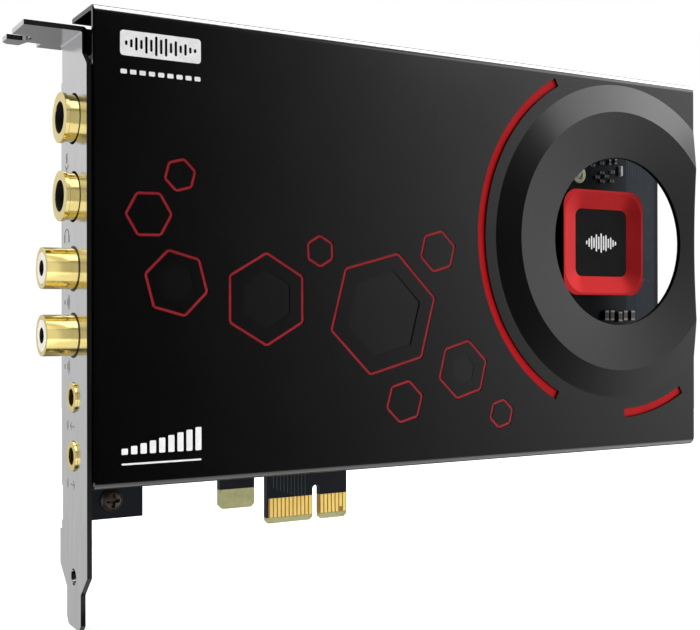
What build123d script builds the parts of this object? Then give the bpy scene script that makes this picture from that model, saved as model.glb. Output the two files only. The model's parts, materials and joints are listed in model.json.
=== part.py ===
from build123d import *
from math import degrees, radians, tan
import os

# Sound card on a one-lane edge connector, in millimetres.
# Origin: centre of the connector's key notch, on the board's middle plane, at the connector's bottom edge.
# +X runs along the board away from the bracket, -Y is the covered component side, +Z is up.

# Clearances shared by every seat
slip = 0.1
press = 0.04
screw_clearance = 0.25

# Circuit board and edge connector
board_thickness = 1.6
board_left_gap = 0.8
board_length = 164.8
board_bottom = 12.2
board_height = 94.4
fingers_left_width = 11.65
fingers_right_width = 7.15
key_width = 1.9
key_height = 8.0
connector_corner = 0.6
connector_bevel_height = 1.1
connector_bevel_depth = 0.4
finger_pitch = 1.0
finger_width = 0.7
finger_first = 1.5
finger_bottom = 1.4
finger_height = 4.3
finger_thickness = 0.06
fingers_left = 11
fingers_right = 7
short_finger = 5
short_finger_cut = 1.1
screw_tab_length = 14.8
screw_tab_drop = 7.7
blank_tab_left = -24.1
blank_tab_width = 8.4
blank_tab_drop = 7.9
blank_tab_corner = 0.8

# Slot bracket
bracket_to_key = 58.5
bracket_thickness = 1.0
bracket_width = 18.42
bracket_reach = 14.6
bracket_top = 104.0
bracket_height = 119.6
neck_setback = 2.9
neck_height = 5.2
neck_slant = 2.6
rear_step = 7.1
tongue_setback = 4.2
tongue_width = 9.4
tongue_length = 7.3
taper_height = 4.1
tongue_corner = 1.2
tongue_hole_radius = 1.7
tongue_hole_up = 10.1
fold_inside = 0.4
fold_outside = 0.8
ledge_length = 11.4
ledge_width = 18.0
notch_width = 4.42
notch_depth = 4.4
notch_setback = 11.2
ledge_relief_start = 4.2
ledge_relief_length = 2.8
ledge_relief_depth = 3.5
ledge_relief_flare = 0.9
ledge_corner = 1.1
ear_root = 3.0
ear_height = 7.2
ear_length_low = 14.6
ear_length_high = 9.8
ear_low_bottom = 4.8
ear_high_drop = 11.4

# Formed cover
cover_wall = 1.2
cover_gap = 14.2
cover_end_gap = 0.1
cover_length = 163.1
cover_lift = 0.6
cover_rise = 1.5
cover_flange_clear = 1.4
cover_fold = 2.0
cover_edge_bevel = 0.3

# Raised ring round the window, in the cover's own front plane
ring_from_left = 137.2
ring_top_margin = 2.7
ring_base_radius = 39.6
ring_crest_radius = 32.7
ring_crest_height = 1.0
window_radius = 21.3
window_dish = 0.25

# Curved grooves and their coloured strips
arc_gap = 4.1
arc_width = 2.2
arc_long_start = 118.5
arc_long_sweep = 123.0
arc_short_start = 271.5
arc_short_sweep = 27.3
arc_groove = 0.9
inlay_recess = 0.6

# Hexagon outlines: place from the cover's lower left corner, size, turn and pocket radius
hexagon_line = 0.78
hexagon_corner = 0.5
hexagon_groove = 0.4
hexagon_line_recess = 0.15
pocket_slope = 0.8
hexagon_sizes = {"small": 3.35, "medium": 4.8, "large": 6.85, "wide": 9.75, "widest": 13.95}
hexagons = [
    (18.05, 62.7, "small", 15, 0),
    (11.4, 54.5, "medium", 1, 0),
    (17.25, 40.8, "large", 45, 4.0),
    (37.45, 37.65, "wide", 30, 6.2),
    (50.3, 48.15, "small", 31, 0),
    (66.55, 34.6, "widest", 15, 9.85),
    (81.05, 48.95, "medium", 16, 0),
    (88.1, 21.65, "large", 16, 3.3),
    (71.95, 14.75, "medium", 15, 0),
    (99.25, 10.9, "small", 16, 0),
]

# Cover standoffs, and the places of the screws that hold the bracket
standoff_radius = 2.5
standoff_inset_top = 4.8
standoff_inset_bottom = 7.1
standoff_left = -16.5
standoff_right_inset = 8.6
screw_radius = 1.25
bracket_screw_low_x = -48.8
bracket_screw_high_x = -52.6

# Heat sink over the audio processor
chip_size = 19.0
chip_thickness = 1.5
pad_size = 17.0
pad_thickness = 0.5
sink_size = 27.0
sink_corner = 4.3
sink_base_setback = 0.6
sink_base_corner = 2.6
sink_base_height = 4.8
frame_height = 2.5
frame_rim = 0.55
face_size = 17.3
face_corner = 2.0
face_dish = 1.1

# Jacks, on one line up the bracket; a plug jack's places run inwards from the bracket
jack_axis_height = 5.7
contact_clear = 0.25
contact_tail = 1.0
contact_tail_width = 1.0
large_jack = {
    "heights": {"microphone_jack": 86.7, "headphone_jack": 71.0},
    "bore_radius": 3.2,
    "lip_radius": 5.05,
    "lip_length": 0.8,
    "neck_radius": 4.75,
    "proud": 2.8,
    "seat": 6.0,
    "body_length": 31.0,
    "body_width": 12.4,
    "body_height": 11.4,
    "body_bevel": 1.5,
    "end_wall": 1.2,
    "contacts": [10.5, 18.0, 25.5],
    "contact_width": 2.0,
    "contact_thickness": 0.4,
}
small_jack = {
    "heights": {"line_jack_upper": 30.6, "line_jack_lower": 18.8},
    "bore_radius": 1.78,
    "lip_radius": 3.0,
    "lip_length": 0,
    "neck_radius": 3.0,
    "proud": 0.5,
    "seat": 3.0,
    "body_length": 15.5,
    "body_width": 8.0,
    "body_height": 9.4,
    "body_bevel": 0.8,
    "end_wall": 0.9,
    "contacts": [5.2, 9.0, 12.6],
    "contact_width": 1.4,
    "contact_thickness": 0.3,
}
phono_heights = {"phono_jack_right": 56.5, "phono_jack_left": 43.1}
phono_shell_radius = 4.15
phono_shell_wall = 0.85
phono_proud = 6.4
phono_shell_seat = 0.15
phono_seat = 8.0
phono_pin_radius = 1.6
phono_body_length = 10.0
phono_body_height = 10.6
phono_body_margin = 6.3
phono_body_bevel = 1.5
phono_contact_width = 1.4
phono_contact_thickness = 0.4

# Parts on the board under the cover, each place as (x, z)
capacitor_radius = 3.15
capacitor_height = 7.7
capacitor_base = 6.6
capacitor_base_height = 1.4
capacitor_pitch = 8.6
capacitor_count = 3
capacitor_x = 26.0
capacitor_drop = 14.6
dip_row = 7.62
dip_length = 9.6
dip_width = 6.4
dip_body_height = 3.4
socket_length = 10.4
socket_rail = 2.6
socket_height = 3.6
socket_centre = (0.0, 79.0)
socket_spacing = (14.0, 15.0)
relay_places = [(-10.5, 37.5), (-10.5, 27.5)]
relay_size = (14.0, 9.0, 8.4)
relay_bevel = 0.5
converter_places = [(14.0, 58.0), (31.0, 47.5)]
converter_size = 10.0
converter_thickness = 1.4
converter_bevel = 0.3
memory_place = (55.0, 73.0)
memory_size = (5.0, 4.0, 1.6)
regulator_places = [(40.0, 33.0), (52.0, 33.0), (64.0, 33.0)]
regulator_size = (6.5, 3.5, 1.6)
regulator_tab = 1.6
regulator_tab_thickness = 0.15
inductor_places = [(20.0, 25.5), (30.0, 25.5)]
inductor_size = 7.0
inductor_height = 3.6
inductor_corner = 1.6
inductor_bevel = 0.5
crystal_place = (56.0, 55.0)
crystal_length = 11.0
crystal_width = 4.6
crystal_height = 3.4
crystal_corner = 1.4
oscillator_place = (25.0, 77.0)
oscillator_size = (7.0, 5.0, 1.6)
oscillator_bevel = 0.4
header_pitch = 2.54
header_pin = 0.64
header_base_height = 2.5
header_pin_height = 8.6
front_header_place = (80.0, 27.0)
front_header_columns = 5
link_header_x = 64.0
link_header_drop = 6.6
link_header_columns = 13

# Shared planes and faces worked out from the sizes above
board_front = -board_thickness / 2
board_back = board_thickness / 2
bracket_outside = -bracket_to_key
bracket_inside = bracket_outside + bracket_thickness
board_left = bracket_inside + board_left_gap
board_right = board_left + board_length
board_top = board_bottom + board_height
edge_left = -key_width / 2 - fingers_left_width
edge_right = key_width / 2 + fingers_right_width
ear_back = board_back + bracket_thickness
cover_bottom = board_bottom + cover_lift
cover_height = board_top + cover_rise - cover_bottom
cover_inside = board_front - cover_gap
cover_face = cover_inside - cover_wall
cover_left = bracket_inside + cover_end_gap
cover_right = cover_left + cover_length
jack_axis = board_front - jack_axis_height
screw_hole_radius = screw_radius + screw_clearance
cover_front = Plane(origin=(cover_left, cover_face, cover_bottom), x_dir=(1, 0, 0), z_dir=(0, -1, 0))
ring_up = cover_height - ring_top_margin - ring_base_radius
ring_centre = (ring_from_left, ring_up)
arc_radius = ring_base_radius + arc_gap
ring_x = cover_left + ring_from_left
ring_z = cover_bottom + ring_up
ring_axis = Axis((ring_x, 0, ring_z), (0, 1, 0))
standoff_places = [
    (x, z)
    for x in (standoff_left, board_right - standoff_right_inset)
    for z in (board_bottom + standoff_inset_bottom, board_top - standoff_inset_top)
]
ear_high_bottom = board_top - ear_high_drop
bracket_screw_places = [
    (bracket_screw_low_x, ear_low_bottom + ear_height / 2),
    (bracket_screw_high_x, ear_high_bottom + ear_height / 2),
]


def front_plane(y):
    # Plane at depth y that faces the component side, with local x along X and local y along Z
    return Plane(origin=(0, y, 0), x_dir=(1, 0, 0), z_dir=(0, -1, 0))


def back_plane(y):
    # Plane at depth y that faces the solder side, with local x along X and local y down Z
    return Plane(origin=(0, y, 0), x_dir=(1, 0, 0), z_dir=(0, 1, 0))


def side_plane(x):
    # Plane across the board at x, with local x along Y and local y along Z
    return Plane.YZ.offset(x)


def save(piece, label):
    piece.part.label = label
    export_step(piece.part, f"parts/{label}.step")


def eased_hexagon(radius, corner):
    with BuildSketch() as outline:
        RegularPolygon(radius, 6)
        chamfer(outline.vertices(), corner)
    return outline.sketch


def blade_places(jack, height):
    # Contact places beside a plug's path, on alternate sides of the jack's axis
    offset = jack["bore_radius"] + contact_clear + jack["contact_thickness"] / 2
    sides = [offset if index % 2 == 0 else -offset for index in range(len(jack["contacts"]))]
    return [(bracket_inside + start, height + side) for start, side in zip(jack["contacts"], sides)]


plug_jacks = [
    (name, height, jack) for jack in (large_jack, small_jack) for name, height in jack["heights"].items()
]
phono_rear = bracket_inside + phono_seat
phono_blade_x = phono_rear + phono_contact_width / 2 + slip
phono_blade_offset = phono_pin_radius + contact_clear + phono_contact_thickness / 2
tail_places = [place for name, height, jack in plug_jacks for place in blade_places(jack, height)]
tail_places += [(phono_blade_x, height + phono_blade_offset) for height in phono_heights.values()]
tail_slot = (contact_tail_width + 2 * slip, large_jack["contact_thickness"] + 2 * slip)

os.makedirs("parts", exist_ok=True)

# Circuit board: main panel, three tabs below it and the keyed edge connector
with BuildPart() as circuit_board:
    with BuildSketch(front_plane(board_back)) as outline:
        with Locations((board_left, board_bottom)):
            Rectangle(board_length, board_height, align=(Align.MIN, Align.MIN))
        with Locations((board_left, board_bottom - screw_tab_drop)):
            Rectangle(screw_tab_length, screw_tab_drop, align=(Align.MIN, Align.MIN))
        with Locations((blank_tab_left, board_bottom - blank_tab_drop)):
            Rectangle(blank_tab_width, blank_tab_drop, align=(Align.MIN, Align.MIN))
        with Locations((edge_left, 0)):
            Rectangle(edge_right - edge_left, board_bottom, align=(Align.MIN, Align.MIN))
        with Locations((0, key_height - key_width / 2)):
            Circle(key_width / 2, mode=Mode.SUBTRACT)
            Rectangle(
                key_width, key_height - key_width / 2, align=(Align.CENTER, Align.MAX), mode=Mode.SUBTRACT
            )
        chamfer(outline.vertices().group_by(Axis.Y)[0], connector_corner)
        blank_low = board_bottom - blank_tab_drop
        blank_corners = outline.vertices().filter_by_position(Axis.Y, blank_low - slip, blank_low + slip)
        blank_corners = blank_corners.filter_by_position(
            Axis.X, blank_tab_left - slip, blank_tab_left + blank_tab_width + slip
        )
        chamfer(blank_corners, blank_tab_corner)
    extrude(amount=board_thickness)
    for face_y, inward in ((board_front, connector_bevel_depth), (board_back, -connector_bevel_depth)):
        with BuildSketch(side_plane(edge_left)):
            with BuildLine():
                Polyline((face_y, 0), (face_y + inward, 0), (face_y, connector_bevel_height), close=True)
            make_face()
        extrude(amount=edge_right - edge_left, mode=Mode.SUBTRACT)
    with BuildSketch(front_plane(board_back)):
        with Locations(*bracket_screw_places):
            Circle(screw_hole_radius)
        with Locations(*tail_places):
            Rectangle(*tail_slot)
    extrude(amount=board_thickness, mode=Mode.SUBTRACT)
save(circuit_board, "circuit_board")

# Plated fingers on both faces of the connector, with one short presence finger in front
finger_places = [-finger_first - finger_pitch * index for index in range(fingers_left)]
finger_places += [finger_first + finger_pitch * index for index in range(fingers_right)]
short_place = finger_first + finger_pitch * short_finger
with BuildPart() as edge_contacts:
    with BuildSketch(front_plane(board_front)):
        for place in finger_places:
            cut = short_finger_cut if place == short_place else 0
            with Locations((place, finger_bottom + cut)):
                Rectangle(finger_width, finger_height - cut, align=(Align.CENTER, Align.MIN))
    extrude(amount=finger_thickness)
    with BuildSketch(back_plane(board_back)):
        with Locations(*[(place, -finger_bottom) for place in finger_places]):
            Rectangle(finger_width, finger_height, align=(Align.CENTER, Align.MAX))
    extrude(amount=finger_thickness)
save(edge_contacts, "edge_contacts")

# Slot bracket: stamped plate with a tongue, a screw ledge folded outwards and two ears folded to the board
bracket_front = board_front - bracket_reach
bracket_rear = bracket_front + bracket_width
neck_front = bracket_front + neck_setback
tongue_front = bracket_front + tongue_setback
tongue_rear = tongue_front + tongue_width
bracket_tip = bracket_top - bracket_height
taper_bottom = bracket_tip + tongue_length
taper_top = taper_bottom + taper_height
neck_bottom = bracket_top - neck_height
step_height = taper_top + rear_step
ledge_rear = neck_front + ledge_width
ledge_end = bracket_outside - ledge_length
notch_y = neck_front + notch_setback
notch_end = ledge_end + notch_depth
relief_x = bracket_outside - ledge_relief_start
ears = [(ear_low_bottom, ear_length_low), (ear_high_bottom, ear_length_high)]
with BuildPart() as folded_sheet:
    with BuildSketch(side_plane(bracket_outside)) as plate:
        with BuildLine():
            Polyline(
                (neck_front, bracket_top),
                (neck_front, neck_bottom),
                (bracket_front, neck_bottom - neck_slant),
                (bracket_front, taper_top),
                (tongue_front, taper_bottom),
                (tongue_front, bracket_tip),
                (tongue_rear, bracket_tip),
                (tongue_rear, taper_bottom),
                (bracket_rear, taper_top),
                (bracket_rear, step_height),
                (ear_back, step_height),
                (ear_back, bracket_top),
                close=True,
            )
        make_face()
        chamfer(plate.vertices().group_by(Axis.Y)[0], tongue_corner)
        for name, height, jack in plug_jacks:
            with Locations((jack_axis, height)):
                Circle(jack["lip_radius"] + slip, mode=Mode.SUBTRACT)
        for height in phono_heights.values():
            with Locations((jack_axis, height)):
                Circle(phono_shell_radius + slip, mode=Mode.SUBTRACT)
        with Locations((jack_axis, bracket_tip + tongue_hole_up)):
            Circle(tongue_hole_radius, mode=Mode.SUBTRACT)
        for low, length in ears:
            with Locations((ear_back - ear_root, low)):
                Rectangle(ear_root, ear_height, align=(Align.MIN, Align.MIN), mode=Mode.SUBTRACT)
    extrude(amount=bracket_thickness)
    with BuildSketch(Plane.XY.offset(bracket_top - bracket_thickness)) as ledge:
        with Locations((ledge_end, neck_front)):
            Rectangle(bracket_inside - ledge_end, ledge_width, align=(Align.MIN, Align.MIN))
        end_corners = ledge.vertices().group_by(Axis.X)[0]
        chamfer(end_corners.sort_by(Axis.Y)[-1], ledge_corner)
        with Locations((notch_end - notch_width / 2, notch_y)):
            Circle(notch_width / 2, mode=Mode.SUBTRACT)
            Rectangle(
                notch_depth, notch_width, align=(Align.MAX, Align.CENTER), mode=Mode.SUBTRACT
            )
        with BuildLine():
            Polyline(
                (relief_x, ledge_rear),
                (relief_x, ledge_rear - ledge_relief_depth),
                (relief_x - ledge_relief_length, ledge_rear - ledge_relief_depth),
                (relief_x - ledge_relief_length - ledge_relief_flare, ledge_rear),
                close=True,
            )
        make_face(mode=Mode.SUBTRACT)
    extrude(amount=bracket_thickness)
    outer_fold = folded_sheet.edges().filter_by(Axis.Y).group_by(Axis.Z)[-1].sort_by(Axis.X)[-1]
    fillet(outer_fold, fold_outside)
    inner_fold = folded_sheet.edges().filter_by(Axis.Y).filter_by_position(
        Axis.X, bracket_outside - press, bracket_outside + press
    ).sort_by(Axis.Z)[-1]
    fillet(inner_fold, fold_inside)
    for (low, length), place in zip(ears, bracket_screw_places):
        with BuildSketch(Plane.XY.offset(low)) as ear:
            with Locations((bracket_outside, ear_back)):
                Rectangle(bracket_thickness, ear_root, align=(Align.MIN, Align.MAX))
                Rectangle(length, bracket_thickness, align=(Align.MIN, Align.MAX))
            fillet(ear.vertices().group_by(Axis.X)[0].sort_by(Axis.Y)[-1], fold_outside)
        extrude(amount=ear_height)
        with BuildSketch(front_plane(ear_back)):
            with Locations(place):
                Circle(screw_radius + press)
        extrude(amount=bracket_thickness, mode=Mode.SUBTRACT)

# The sheet as two nodes that meet beyond the upper fold: the plate with its ears, and the notched screw ledge
ledge_seam = Plane.YZ.offset(bracket_outside - fold_inside)
with BuildPart() as bracket:
    add(folded_sheet.part)
    split(bisect_by=ledge_seam, keep=Keep.TOP)
save(bracket, "bracket")

with BuildPart() as bracket_screw_ledge:
    add(folded_sheet.part)
    split(bisect_by=ledge_seam, keep=Keep.BOTTOM)
save(bracket_screw_ledge, "bracket_screw_ledge")

# Sloping floors of the pockets inside the larger hexagons
with BuildPart() as pockets:
    for across, up, size, turn, pocket_radius in hexagons:
        if pocket_radius:
            pocket_depth = 2 * pocket_radius * tan(radians(pocket_slope))
            with BuildSketch(cover_front):
                with Locations(Location((across, up, 0), (0, 0, turn))):
                    RegularPolygon(pocket_radius, 6)
            extrude(amount=-pocket_depth)
            flush_side = (cover_left + across - pocket_radius, cover_face, cover_bottom + up)
            floor = Plane(
                origin=flush_side,
                x_dir=(2 * pocket_radius, pocket_depth, 0),
                z_dir=(pocket_depth, -2 * pocket_radius, 0),
            )
            with BuildSketch(floor):
                with Locations((pocket_radius, 0)):
                    Rectangle(3 * pocket_radius, 3 * pocket_radius)
            extrude(amount=-2 * pocket_depth, mode=Mode.SUBTRACT)

# Cover: one folded sheet with a dished ring round the window, curved grooves and hexagon grooves
flange_rear = board_front - cover_flange_clear
with BuildPart() as front_cover:
    with BuildSketch(side_plane(cover_left)) as channel:
        with Locations((cover_face, cover_bottom)):
            Rectangle(flange_rear - cover_face, cover_height, align=(Align.MIN, Align.MIN))
        fillet(channel.vertices().group_by(Axis.X)[0], cover_fold)
        with BuildSketch(mode=Mode.SUBTRACT) as hollow:
            with Locations((cover_inside, cover_bottom + cover_wall)):
                Rectangle(
                    flange_rear - cover_inside, cover_height - 2 * cover_wall, align=(Align.MIN, Align.MIN)
                )
            fillet(hollow.vertices().group_by(Axis.X)[0], cover_fold - cover_wall)
    extrude(amount=cover_length)
    left_rim = front_cover.faces().sort_by(Axis.X)[0].outer_wire().edges()
    left_rim = left_rim.filter_by_position(Axis.Y, cover_face - slip, cover_inside - slip)
    chamfer(left_rim, cover_edge_bevel)
    with BuildSketch(cover_front):
        with Locations(ring_centre):
            Circle(ring_base_radius)
    extrude(amount=-cover_wall, mode=Mode.SUBTRACT)
    with BuildSketch(Plane(origin=(ring_x, cover_face, ring_z), x_dir=(1, 0, 0), z_dir=(0, 0, -1))):
        with BuildLine():
            Polyline(
                (window_radius, -window_dish),
                (ring_crest_radius, ring_crest_height),
                (ring_base_radius, 0),
                (ring_base_radius, -cover_wall),
                (ring_crest_radius, ring_crest_height - cover_wall),
                (window_radius, -window_dish - cover_wall),
                close=True,
            )
        make_face()
    revolve(axis=ring_axis)
    split(bisect_by=Plane.YZ.offset(cover_right), keep=Keep.BOTTOM)
    for start, sweep_angle in ((arc_long_start, arc_long_sweep), (arc_short_start, arc_short_sweep)):
        with BuildSketch(cover_front):
            with BuildLine():
                CenterArc(ring_centre, arc_radius, start, sweep_angle)
            trace(line_width=arc_width)
        extrude(amount=-arc_groove, mode=Mode.SUBTRACT)
    with BuildSketch(cover_front):
        for across, up, size, turn, pocket_radius in hexagons:
            radius = hexagon_sizes[size]
            with Locations(Location((across, up, 0), (0, 0, turn))):
                RegularPolygon(radius + hexagon_line / 2, 6)
                RegularPolygon(radius - hexagon_line / 2, 6, mode=Mode.SUBTRACT)
    extrude(amount=-hexagon_groove, mode=Mode.SUBTRACT)
    add(pockets.part, mode=Mode.SUBTRACT)
save(front_cover, "front_cover")

# Coloured strips at the bottom of the two curved grooves
with BuildPart() as arc_inlays:
    end_slack = degrees(slip / arc_radius)
    for start, sweep_angle in ((arc_long_start, arc_long_sweep), (arc_short_start, arc_short_sweep)):
        with BuildSketch(cover_front.offset(-arc_groove)):
            with BuildLine():
                CenterArc(ring_centre, arc_radius, start + end_slack, sweep_angle - 2 * end_slack)
            trace(line_width=arc_width - 2 * press)
        extrude(amount=arc_groove - inlay_recess)
save(arc_inlays, "arc_inlays")

# Coloured lines in the hexagon grooves
with BuildPart() as hexagon_inlays:
    with BuildSketch(cover_front.offset(-hexagon_groove)):
        for across, up, size, turn, pocket_radius in hexagons:
            half_line = hexagon_line / 2 - press
            radius = hexagon_sizes[size]
            with Locations(Location((across, up, 0), (0, 0, turn))):
                add(eased_hexagon(radius + half_line, hexagon_corner))
                RegularPolygon(radius - half_line, 6, mode=Mode.SUBTRACT)
    extrude(amount=hexagon_groove - hexagon_line_recess)
save(hexagon_inlays, "hexagon_inlays")

# Hexagonal pillars between the board and the cover
with BuildPart() as cover_standoffs:
    with BuildSketch(front_plane(board_front)):
        with Locations(*standoff_places):
            RegularPolygon(standoff_radius, 6)
    extrude(amount=cover_gap)
save(cover_standoffs, "cover_standoffs")

# Audio processor, its thermal pad, the heat sink and the dished frame round the heat sink's face
chip_face = board_front - chip_thickness
pad_face = chip_face - pad_thickness
frame_seat = pad_face - sink_base_height
with BuildPart() as audio_processor:
    with BuildSketch(front_plane(board_front)):
        with Locations((ring_x, ring_z)):
            Rectangle(chip_size, chip_size)
    extrude(amount=chip_thickness)
save(audio_processor, "audio_processor")

with BuildPart() as thermal_pad:
    with BuildSketch(front_plane(chip_face)):
        with Locations((ring_x, ring_z)):
            Rectangle(pad_size, pad_size)
    extrude(amount=pad_thickness)
save(thermal_pad, "thermal_pad")

with BuildPart() as heat_sink:
    with BuildSketch(front_plane(pad_face)):
        with Locations((ring_x, ring_z)):
            Rectangle(sink_size - 2 * sink_base_setback, sink_size - 2 * sink_base_setback)
    extrude(amount=sink_base_height)
    chamfer(heat_sink.edges().filter_by(Axis.Y), sink_base_corner)
    with BuildSketch(front_plane(frame_seat)):
        with Locations((ring_x, ring_z)):
            RectangleRounded(face_size, face_size, face_corner)
    extrude(amount=frame_height - face_dish)
save(heat_sink, "heat_sink")

with BuildPart() as heat_sink_frame:
    with BuildSketch(front_plane(frame_seat)):
        with Locations((ring_x, ring_z)):
            RectangleRounded(sink_size, sink_size, sink_corner)
    extrude(amount=frame_height)
    with BuildSketch(front_plane(frame_seat)):
        with Locations((ring_x, ring_z)):
            RectangleRounded(face_size + 2 * press, face_size + 2 * press, face_corner)
    extrude(amount=frame_height, mode=Mode.SUBTRACT)
    front_face = heat_sink_frame.faces().sort_by(Axis.Y)[0]
    dish_width = (sink_size - face_size) / 2 - frame_rim
    chamfer(front_face.inner_wires()[0].edges(), dish_width, face_dish, reference=front_face)
save(heat_sink_frame, "heat_sink_frame")

# Plug jacks: hollow moulded body, turned bushing and three blade contacts each
for name, height, jack in plug_jacks:
    blades = blade_places(jack, height)
    blade_top = jack_axis_height + jack["contact_width"] / 2
    with BuildPart() as body:
        with BuildSketch(side_plane(bracket_inside)) as section:
            with Locations((board_front, height)):
                Rectangle(jack["body_height"], jack["body_width"], align=(Align.MAX, Align.CENTER))
            chamfer(section.vertices().group_by(Axis.X)[0], jack["body_bevel"])
        extrude(amount=jack["body_length"])
        with BuildSketch(side_plane(bracket_inside)):
            with Locations((jack_axis, height)):
                Rectangle(2 * (jack["neck_radius"] + slip), 2 * (jack["neck_radius"] + slip))
        extrude(amount=jack["body_length"] - jack["end_wall"], mode=Mode.SUBTRACT)
        with BuildSketch(front_plane(board_front)):
            with Locations(*blades):
                Rectangle(jack["contact_width"] + 2 * slip, jack["contact_thickness"] + 2 * slip)
        extrude(amount=blade_top, mode=Mode.SUBTRACT)
    save(body, f"{name}_body")

    nose = bracket_outside - jack["proud"]
    with BuildPart() as bushing:
        with BuildSketch(side_plane(nose)):
            with Locations((jack_axis, height)):
                Circle(jack["neck_radius"])
                Circle(jack["bore_radius"], mode=Mode.SUBTRACT)
        extrude(amount=bracket_inside + jack["seat"] - nose)
        if jack["lip_length"]:
            with BuildSketch(side_plane(nose)):
                with Locations((jack_axis, height)):
                    Circle(jack["lip_radius"])
                    Circle(jack["bore_radius"], mode=Mode.SUBTRACT)
            extrude(amount=jack["lip_length"])
    save(bushing, f"{name}_bushing")

    with BuildPart() as contacts:
        with BuildSketch(front_plane(board_front)):
            with Locations(*blades):
                Rectangle(jack["contact_width"], jack["contact_thickness"])
        extrude(amount=blade_top - slip)
        with BuildSketch(front_plane(board_front)):
            with Locations(*blades):
                Rectangle(contact_tail_width, jack["contact_thickness"])
        extrude(amount=-board_thickness - contact_tail)
    save(contacts, f"{name}_contacts")

# Phono jacks: one moulded housing, and a shell, insulator and contact for each
phono_nose = bracket_outside - phono_proud
phono_shell_bore = phono_shell_radius - phono_shell_wall
phono_well = 2 * phono_shell_bore
phono_low, phono_high = sorted(phono_heights.values())
with BuildPart() as phono_housing:
    with BuildSketch(side_plane(bracket_inside)) as section:
        with Locations((board_front, (phono_low + phono_high) / 2)):
            Rectangle(
                phono_body_height,
                phono_high - phono_low + 2 * phono_body_margin,
                align=(Align.MAX, Align.CENTER),
            )
        chamfer(section.vertices().group_by(Axis.X)[0], phono_body_bevel)
    extrude(amount=phono_body_length)
    with BuildSketch(side_plane(bracket_inside)):
        with Locations((jack_axis, phono_low), (jack_axis, phono_high)):
            Rectangle(phono_well, phono_well)
    extrude(amount=phono_seat, mode=Mode.SUBTRACT)
    with BuildSketch(front_plane(board_front)):
        for height in phono_heights.values():
            with Locations((phono_rear, height + phono_blade_offset)):
                Rectangle(
                    phono_contact_width + 2 * slip,
                    phono_contact_thickness + 2 * slip,
                    align=(Align.MIN, Align.CENTER),
                )
    extrude(amount=jack_axis_height + phono_pin_radius, mode=Mode.SUBTRACT)
save(phono_housing, "phono_housing")

for name, height in phono_heights.items():
    with BuildPart() as shell:
        with BuildSketch(side_plane(phono_nose)):
            with Locations((jack_axis, height)):
                Circle(phono_shell_radius)
                Circle(phono_shell_bore, mode=Mode.SUBTRACT)
        extrude(amount=phono_proud + phono_shell_seat)
    save(shell, f"{name}_shell")

    with BuildPart() as insulator:
        with BuildSketch(side_plane(phono_nose)):
            with Locations((jack_axis, height)):
                Circle(phono_shell_bore - press)
                Circle(phono_pin_radius, mode=Mode.SUBTRACT)
        extrude(amount=phono_rear - phono_nose)
    save(insulator, f"{name}_insulator")

    with BuildPart() as contact:
        with BuildSketch(front_plane(board_front)):
            with Locations((phono_blade_x, height + phono_blade_offset)):
                Rectangle(phono_contact_width, phono_contact_thickness)
        extrude(amount=jack_axis_height + phono_pin_radius - slip)
        with BuildSketch(front_plane(board_front)):
            with Locations((phono_blade_x, height + phono_blade_offset)):
                Rectangle(contact_tail_width, phono_contact_thickness)
        extrude(amount=-board_thickness - contact_tail)
    save(contact, f"{name}_contact")

# Electrolytic capacitors: round cans on square bases
with BuildPart() as electrolytic_capacitors:
    with BuildSketch(front_plane(board_front)):
        with Locations((capacitor_x, board_top - capacitor_drop)):
            with GridLocations(capacitor_pitch, 0, capacitor_count, 1):
                Rectangle(capacitor_base, capacitor_base)
    extrude(amount=capacitor_base_height)
    with BuildSketch(front_plane(board_front - capacitor_base_height)):
        with Locations((capacitor_x, board_top - capacitor_drop)):
            with GridLocations(capacitor_pitch, 0, capacitor_count, 1):
                Circle(capacitor_radius)
    extrude(amount=capacitor_height - capacitor_base_height)
save(electrolytic_capacitors, "electrolytic_capacitors")

# Operational amplifiers in open-frame sockets
with BuildPart() as amplifier_sockets:
    with BuildSketch(front_plane(board_front)):
        with Locations(socket_centre):
            with GridLocations(*socket_spacing, 2, 2):
                with GridLocations(0, dip_row, 1, 2):
                    Rectangle(socket_length, socket_rail)
                with GridLocations(socket_length - socket_rail / 2, 0, 2, 1):
                    Rectangle(socket_rail / 2, dip_row)
    extrude(amount=socket_height)
save(amplifier_sockets, "amplifier_sockets")

with BuildPart() as amplifier_chips:
    with BuildSketch(front_plane(board_front - socket_height)):
        with Locations(socket_centre):
            with GridLocations(*socket_spacing, 2, 2):
                Rectangle(dip_length, dip_width)
    extrude(amount=dip_body_height)
save(amplifier_chips, "amplifier_chips")

with BuildPart() as signal_relays:
    with BuildSketch(front_plane(board_front)):
        with Locations(*relay_places):
            Rectangle(relay_size[0], relay_size[1])
    extrude(amount=relay_size[2])
    chamfer(signal_relays.edges().group_by(Axis.Y)[0], relay_bevel)
save(signal_relays, "signal_relays")

with BuildPart() as converter_chips:
    with BuildSketch(front_plane(board_front)):
        with Locations(*converter_places):
            Rectangle(converter_size, converter_size)
    extrude(amount=converter_thickness)
    chamfer(converter_chips.edges().group_by(Axis.Y)[0], converter_bevel)
save(converter_chips, "converter_chips")

with BuildPart() as memory_chip:
    with BuildSketch(front_plane(board_front)):
        with Locations(memory_place):
            Rectangle(memory_size[0], memory_size[1])
    extrude(amount=memory_size[2])
save(memory_chip, "memory_chip")

with BuildPart() as voltage_regulators:
    with BuildSketch(front_plane(board_front)):
        with Locations(*regulator_places):
            Rectangle(regulator_size[0], regulator_size[1])
    extrude(amount=regulator_size[2])
    with BuildSketch(front_plane(board_front)):
        with Locations(*regulator_places):
            with Locations((0, regulator_size[1] / 2)):
                Rectangle(regulator_size[0] / 2, regulator_tab, align=(Align.CENTER, Align.MIN))
    extrude(amount=regulator_tab_thickness)
save(voltage_regulators, "voltage_regulators")

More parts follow.
